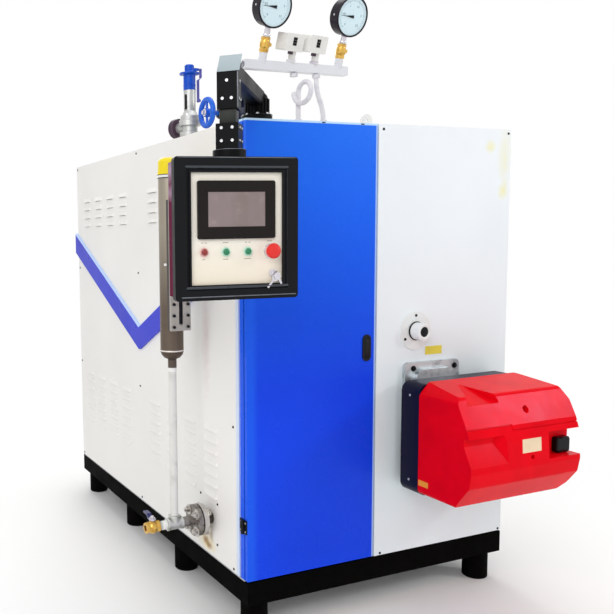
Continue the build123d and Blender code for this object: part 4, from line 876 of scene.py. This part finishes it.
def control_details():
    """The display's glass, lamps, dashes in place of captions, bezel beads, lock and keys."""
    display = rounded(plate(133.4, 75.4, 0.9), 0.3, 1)
    finish(on_box(display, 0, 42, -3.8), "display_glass", "panel_box",
           display_glass())
    for u, name, lens_finish, rim in ((-76, "left_lamp", "red_lens", "pink"),
                                      (-25.5, "middle_lamp", "green_lens", "mint"),
                                      (26, "right_lamp", "green_lens", "mint")):
        lens = drum(6.4, 4.2, box_point(u, -50, -4.4), BOX_OUT, 32)
        edit(lens, faces_along(BOX_OUT), inset(1.6, 1.1), inset(2.0, 0.5))
        finish(lens, name + "_lens", "panel_box", plastic[lens_finish])
        finish(loop(8.4, 1.7, box_point(u, -50, -4.6), BOX_OUT, 40, 8), name + "_rim",
               "panel_box", plastic[rim])
    dashes = [on_box(rounded(plate(w, 1.4, 0.4), 0.15, 1), u, v, -8.05)
              for u, v, w in ((-79, -30, 5), (-71, -30, 5), (-25.5, -30, 13), (23, -30, 5),
                              (31, -30, 5), (79, -28, 12), (-76, -66, 7), (-25.5, -66, 12),
                              (26, -66, 17))]
    finish(joined(dashes), "blank_dashes", "panel_box", plastic["dash"])
    ring = loop(14.6, 1.8, box_point(78.5, -50, -1.6), BOX_OUT, 40, 8)
    finish(ring, "stop_collar_ring", "panel_box", metal["bright"])
    # The beads' grey stands partly for the highlight along the frame's step.
    beads = [box_bar(-119, 133, 121, 133, -2.6, 3.4), box_bar(-119, -127, 121, -127, -2.6, 3.4),
             box_bar(-119, -127, -119, 133, -3.6, 2.6), box_bar(121, -127, 121, 133, -3.6, 2.6)]
    finish(joined(beads), "bezel_bead", "panel_box", plastic["bead"])
    # Painted highlights: thin grey lines along the bezel's top and bottom outer edges.
    edge_highlights = [box_bar(-136, 153.2, 138, 153.2, -1.2, 1.5), box_bar(-130, -147, 139, -147, -0.2, 1.3)]
    finish(joined(edge_highlights), "bezel_edge_highlight", "panel_box", metal["trim_and_highlight"])
    barrel = drum(8.5, 5, box_point(85, -99, -8), BOX_OUT, 32)
    edit(barrel, faces_along(BOX_OUT), inset(1.4, 0.6), inset(2.6), inset(0.0, -1.4))
    finish(barrel, "box_lock", "panel_box", metal["bright"])
    keys = [on_box(flat_key(28), 89, -110, -1.2, -40), on_box(flat_key(20), 93, -106, 1.2, 30),
            loop(7, 0.8, box_point(88, -101, 0.8), BOX_OUT + BOX_RIGHT * 0.4, 32, 8)]
    finish(joined(keys), "box_keys", "panel_box", metal["bright"])
    screws = [(box_point(u, v, -36), BOX_RIGHT * way) for way, u in ((-1, -136), (1, 136))
              for v in (-120, 120)]
    finish(copies(dome_screw(3, 1.8), screws), "box_side_screws", "panel_box",
           metal["screw"])


# The arm: its drop axis stands 45 mm behind the box's face, and the arm runs back from it.

DROP = Vector((BOX_X + 45 * sin(BOX_TURN), BOX_Y + 45 * cos(BOX_TURN), 0))
ARM_BACK = (Vector((ARM_X, ARM_Y, 0)) - DROP).normalized()
ARM_FRONT = -ARM_BACK
ARM_SIDE = Vector((0, 0, 1)).cross(ARM_FRONT)


def leg_point(side, front, z):
    """A point by the drop axis: to the right seen from the front, forward, and height."""
    spot = DROP + ARM_SIDE * side + ARM_FRONT * front
    return at(spot.x, spot.y, z)


def arm_details():
    """Cap screws, facet cover, a painted edge highlight, neck sleeve, the disc's rim line, base
    bolts.
    """
    elbow, clamp = [], []
    sides = ((ARM_FRONT, ARM_SIDE), (ARM_SIDE, ARM_BACK), (-ARM_SIDE, ARM_FRONT),
             (ARM_BACK, -ARM_SIDE))
    for ahead, sideways in sides[:3]:  # the elbow's fourth side runs into the arm
        for shift, z in ((0, 1284), (-10, 1246), (10, 1246)):
            spot = DROP + ahead * 22.5 + sideways * shift
            elbow.append((at(spot.x, spot.y, z), ahead))
    for ahead, sideways in sides:
        for shift in (-12, 12):
            for z in (1183, 1155):
                spot = DROP + ahead * 25 + sideways * shift
                clamp.append((at(spot.x, spot.y, z), ahead))
    finish(copies(socket_screw(3.5, 2.6), elbow), "elbow_screws", "arm",
           metal["screw"])
    finish(copies(socket_screw(3.5, 2.6), clamp), "clamp_screws", "arm",
           metal["screw"])
    cover = rounded(plate(50, 54, 1.2), 0.5, 2)
    normal = (ARM_FRONT * 42.5 + Vector((0, 0, 36))).normalized()
    upward = normal.cross(ARM_SIDE)
    face = Matrix((-ARM_SIDE, -upward, normal)).transposed().to_4x4()
    cover.data.transform(Matrix.Translation(leg_point(2.5, 4.5, 1323.75)) @ face)
    finish(cover, "elbow_facet_cover", "arm", plastic["facet"])
    # Painted highlight: a thin grey line along the elbow's side edge.
    strip = drum(1.5, 76, leg_point(23.2, 21.5, 1225.5), (0, 0, 1), 12)
    finish(rounded(strip, 0.6, 2, 60), "elbow_edge_highlight", "arm",
           metal["trim_and_highlight"])
    jacket = rounded(plate(36.4, 36.4, 30), 1.2, 2)
    jacket.data.transform(Matrix.Rotation(ARM_FRONT.to_2d().angle_signed(Vector((0, -1))), 4, "Z"))
    jacket.data.transform(Matrix.Translation(leg_point(0, 0, 1193.6)))
    finish(jacket, "neck_sleeve", "arm", paint["neck"])
    finish(loop(36.3, 0.9, at(DROP.x, DROP.y, 1136), (0, 0, 1), 56, 8), "disc_rim_line",
           "panel_box", metal["trim_and_highlight"])
    spots = [(at(ARM_X + dx, ARM_Y + dy, 1262.6), (0, 0, 1)) for dx, dy in around(8, 36.6, 15)]
    finish(copies(hex_bolt(5.4, 3.4), spots), "arm_base_bolts", "boiler",
           metal["screw"])


def lean_dirs(yaw):
    """The directions along a leaning stem, out of its face and to its right."""
    lean, turn = radians(17), radians(yaw)
    up = Vector((sin(turn) * sin(lean), -cos(turn) * sin(lean), cos(lean)))
    out = Vector((sin(turn) * cos(lean), -cos(turn) * cos(lean), -sin(lean)))
    return up, out, up.cross(out)


def leaning(x, along, yaw=5):
    """A point, in metres, on the leaning stem over the bar."""
    return at(x, BAR_Y, BAR_Z) + lean_dirs(yaw)[0] * along * MM


def tapered(x0, x1, half0, half1, thick):
    """A flat wedge along X between two half widths, in millimetres."""
    piece = slab(Vector((x0, -1, 0)) * MM, Vector((x1, 1, thick)) * MM)
    middle = (x0 + x1) / 2 * MM
    for vertex in piece.data.vertices:
        vertex.co.y *= half0 if vertex.co.x < middle else half1
    return piece


def gauge_dial(name, x, reach):
    """Dial, scale, numbers and needle of one gauge, and the small plug on its case."""
    up, out, right = lean_dirs(5)
    turn = Matrix((right, up, out)).transposed().to_4x4()

    def stand(piece, height):
        centre = leaning(x, reach) + out * height * MM
        piece.data.transform(Matrix.Translation(centre) @ turn)
        return piece

    face = rounded(drum(49.4, 0.7, sides=64), 0.2, 1)
    finish(stand(face, 18.0), name + "_dial", "boiler", plastic["dial"])
    marks = []
    for step in range(41):
        angle = radians(225 - 270 * step / 40)
        length = 6 if step % 8 == 0 else 3
        mark = slab(Vector((0, -0.35, 0)) * MM, Vector((length, 0.35, 0.3)) * MM)
        mark.data.transform(Matrix.Rotation(angle, 4, "Z") @ Matrix.Translation(
            ((43 - length) * MM, 0, 0)))
        marks.append(mark)
    for step, text in enumerate(("0", "0.5", "1", "1.5", "2", "2.5")):
        angle = radians(225 - 270 * step / 5)
        clear()
        bpy.ops.object.text_add(location=(30 * MM * cos(angle), 30 * MM * sin(angle), 0))
        figure = bpy.context.active_object
        figure.data.body = text
        figure.data.align_x = "CENTER"
        figure.data.align_y = "CENTER"
        figure.data.size = 7.5 * MM
        figure.data.extrude = 0.15 * MM
        bpy.ops.object.convert(target="MESH")
        marks.append(settle(bpy.context.active_object))
    finish(stand(joined(marks), 18.9), name + "_scale", "boiler",
           plastic["print"])
    hub = rounded(drum(3.2, 1.8, sides=24), 0.5, 2)
    needle = joined([tapered(-39, -20, 0.35, 0.6, 0.7), tapered(-23, 5, 0.6, 4.2, 0.9), hub])
    finish(stand(needle, 19.4), name + "_needle", "boiler", plastic["ink"])
    seat = leaning(x, reach) - right * 49.6 * MM
    plug = stood(collar(3, 1.6, 0.5), seat + out * 2 * MM, -right)
    finish(plug, name + "_vent_plug", "boiler", metal["screw"])


def bar_details():
    """Cock and stem nuts, the bar's mouth ring, syphon nuts and switch windows."""
    hexes = [(leaning(x, along), lean_dirs(5)[0]) for x in GAUGES_X for along in (36, 66)]
    finish(copies(hex_bolt(22, 8, washer=False), hexes), "cock_nuts", "boiler",
           metal["brass"])
    collars = [(leaning(x, 76), lean_dirs(5)[0]) for x in GAUGES_X]
    finish(copies(collar(11, 6), collars), "stub_collars", "boiler",
           metal["bright"])
    nuts = [(at(x, y, z), (0, 0, 1)) for x, y, z in (
        (220, BAR_Y, 1387), (294.5, BAR_Y, 1387), (236.8, BAR_Y + 2.7, 1262),
        (319.4, BAR_Y, 1262))]
    finish(copies(hex_bolt(19, 9, washer=False), nuts), "syphon_nuts", "boiler",
           metal["syphon"])
    finish(loop(7.2, 1.4, at(57, BAR_Y, BAR_Z), (-1, 0, 0), 32, 8), "bar_mouth_ring", "boiler",
           metal["trim_and_highlight"])
    up, out, right = lean_dirs(9)
    face = Matrix((right, up, out)).transposed().to_4x4()
    panes = []
    for x in SWITCHES_X:
        middle = leaning(x, 66, 9) - right * 15 * MM
        for shift in (-4.2, 3, 10.2):
            pane = rounded(plate(13.4, 6.4, 2.4), 0.6, 2)
            spot = middle + up * shift * MM + out * 16.9 * MM
            pane.data.transform(Matrix.Translation(spot) @ face)
            panes.append(pane)
    finish(joined(panes), "switch_windows", "boiler", plastic["lens"])
    stems = [(leaning(x, 14, 9), up) for x in SWITCHES_X]
    finish(copies(hex_bolt(22, 8, washer=False), stems), "switch_nuts", "boiler",
           metal["bright"])
    glands = [(leaning(x, 35, 9) - right * 6 * MM, up) for x in SWITCHES_X]
    finish(copies(hex_bolt(15, 7, washer=False), glands), "switch_glands", "boiler",
           plastic["outlet"])


def valve_details():
    """Flange, bonnet and gland bolts of the steam valve, fittings of the safety valve."""
    ring = [(at(203 + dx, SPINDLE_Y + dy, 1281), (0, 0, 1)) for dx, dy in around(4, 42.5, 45)]
    finish(copies(hex_bolt(19, 9, stud=6), ring), "steam_flange_bolts", "boiler",
           metal["flange_bolt"])
    bonnet = [(at(147, SPINDLE_Y + dy, SPINDLE_Z + dz), (-1, 0, 0))
              for dy, dz in around(4, 22, 45)]
    finish(copies(hex_bolt(9, 5, washer=False), bonnet), "bonnet_bolts", "boiler",
           metal["screw"])
    spindle = [(at(x, SPINDLE_Y, SPINDLE_Z), (-1, 0, 0)) for x in (124, 65)]
    gland = copies(hex_bolt(30, 12, washer=False), spindle[:1])
    finish(gland, "gland_nut", "boiler", paint["valve"])
    finish(copies(hex_bolt(12, 6), spindle[1:]), "handwheel_nut", "steam_wheel",
           metal["bright"])
    x, y = SAFETY_X, SAFETY_Y
    feet = [(at(x + dx, y + dy, 1324), (0, 0, 1)) for dx, dy in around(4, 26, 45)]
    finish(copies(hex_bolt(8, 5, washer=False), feet), "safety_valve_bolts", "boiler",
           metal["bright"])
    slot = rounded(plate(9, 46, 2.4), 0.8, 2)
    away = Vector((-0.9, -0.43, 0)).normalized()
    finish(stood(slot, at(x + 17.6 * away.x, y + 17.6 * away.y, 1366), away),
           "spring_window", "boiler", plastic["black"])
    lines = [loop(19, 1.0, at(x, y, z), (0, 0, 1), 48, 8) for z in (1404, 1418)]
    finish(joined(lines), "valve_seam_lines", "boiler", paint["cap"])


def rear_details():
    """A bead and screws on the flue collar, and the bolts of the feed socket's plate."""
    finish(loop(80, 2.2, at(FLUE_X, FLUE_Y, 1338), (0, 0, 1), 72, 10), "flue_bead", "boiler",
           metal["flue"])
    spots = [(at(FLUE_X + dx, FLUE_Y + dy, 1255), (0, 0, 1)) for dx, dy in around(8, 93, 22.5)]
    finish(copies(hex_bolt(10, 6), spots), "flue_bolts", "boiler",
           metal["screw"])
    spots = [(at(INLET_X + dx, CAB_D + 4, INLET_Z + dz), (0, 1, 0))
             for dx, dz in around(4, 28, 45)]
    finish(copies(hex_bolt(7, 4), spots), "inlet_bolts", "boiler",
           metal["screw"])


# Light, floor and background

AIM = (0.4, 0.5, 0.6)     # what the lamps look at, in metres
ROOM_LIGHT = 0.57         # the room's strength for the light that falls on the object
WHITE_FROM = (1.0, 1.9)   # where the floor starts and ends its way to white, in metres
LAMPS = (  # name, place in metres, size in metres, watts
    ("key", (-3.2, -2.6, 3.4), 3.2, 106),
    ("fill", (3.7, -2.5, 2.3), 0.62, 31),
    ("top", (0.6, 0.6, 4.6), 3.0, 55),
    ("rear", (1.0, 4.6, 2.8), 3.0, 70),
)


def direct_rays(tree):
    """1 for rays from the camera, from a mirror or through clear plastic, else 0."""
    ray = put(tree, "LightPath").outputs
    seen = put(tree, "Math", (ray["Is Camera Ray"], ray["Is Glossy Ray"]), operation="MAXIMUM")
    return put(tree, "Math", (seen.outputs[0], ray["Is Transmission Ray"]),
               operation="MAXIMUM").outputs[0]


def add_lights():
    """A pale room with soft lamps, in which colours come out about as written."""
    world = bpy.data.worlds.new("studio")
    bpy.context.scene.world = world
    world.use_nodes = True
    tree = world.node_tree
    back = tree.nodes["Background"]
    back.inputs["Color"].default_value = (1, 1, 1, 1)
    strength = put(tree, "MapRange", (direct_rays(tree), 0.0, 1.0, ROOM_LIGHT, 1.0)).outputs[0]
    tree.links.new(strength, back.inputs["Strength"])
    for name, spot, size, power in LAMPS:
        lamp = bpy.data.lights.new(name, "AREA")
        lamp.size = size
        lamp.energy = power
        holder = bpy.data.objects.new(name, lamp)
        bpy.context.collection.objects.link(holder)
        holder.location = spot
        holder.rotation_euler = (Vector(AIM) - Vector(spot)).to_track_quat("-Z", "Y").to_euler()


def add_floor():
    """A plain pale floor that takes the object's shadow and turns to pure white far out."""
    clear()
    bpy.ops.mesh.primitive_plane_add(size=60, location=(0.4, 0.6, 0))
    floor = settle(bpy.context.active_object)
    floor.name = "floor"
    material, tree, shader, place = start("pale_floor")
    shader.inputs["Base Color"].default_value = srgb("#f6f6f5")
    shader.inputs["Roughness"].default_value = 0.9
    far = put(tree, "VectorMath", (place, (0.4, 0.5, 0)), operation="DISTANCE")
    rise = put(tree, "MapRange", (far.outputs["Value"], *WHITE_FROM, 0.0, 1.0))
    share = put(tree, "Math", (rise.outputs[0], direct_rays(tree)), operation="MULTIPLY")
    glow = put(tree, "Emission", {"Color": (1, 1, 1, 1), "Strength": 1.0})
    both = put(tree, "MixShader", (share.outputs[0], shader.outputs[0], glow.outputs[0]))
    tree.links.new(both.outputs[0], tree.nodes["Material Output"].inputs["Surface"])
    floor.data.materials.append(material)


add_camera()
dress_nodes()
panel_screws()
louvre_mouths()
skid_details()
door_details()
burner_details()
labels()
port_details()
column_details()
drain_details()
control_details()
arm_details()
gauge_dial("left_gauge", GAUGES_X[0], 151)
gauge_dial("right_gauge", GAUGES_X[1], 147)
bar_details()
valve_details()
rear_details()
add_lights()
add_floor()
bpy.context.scene.view_settings.view_transform = "Standard"
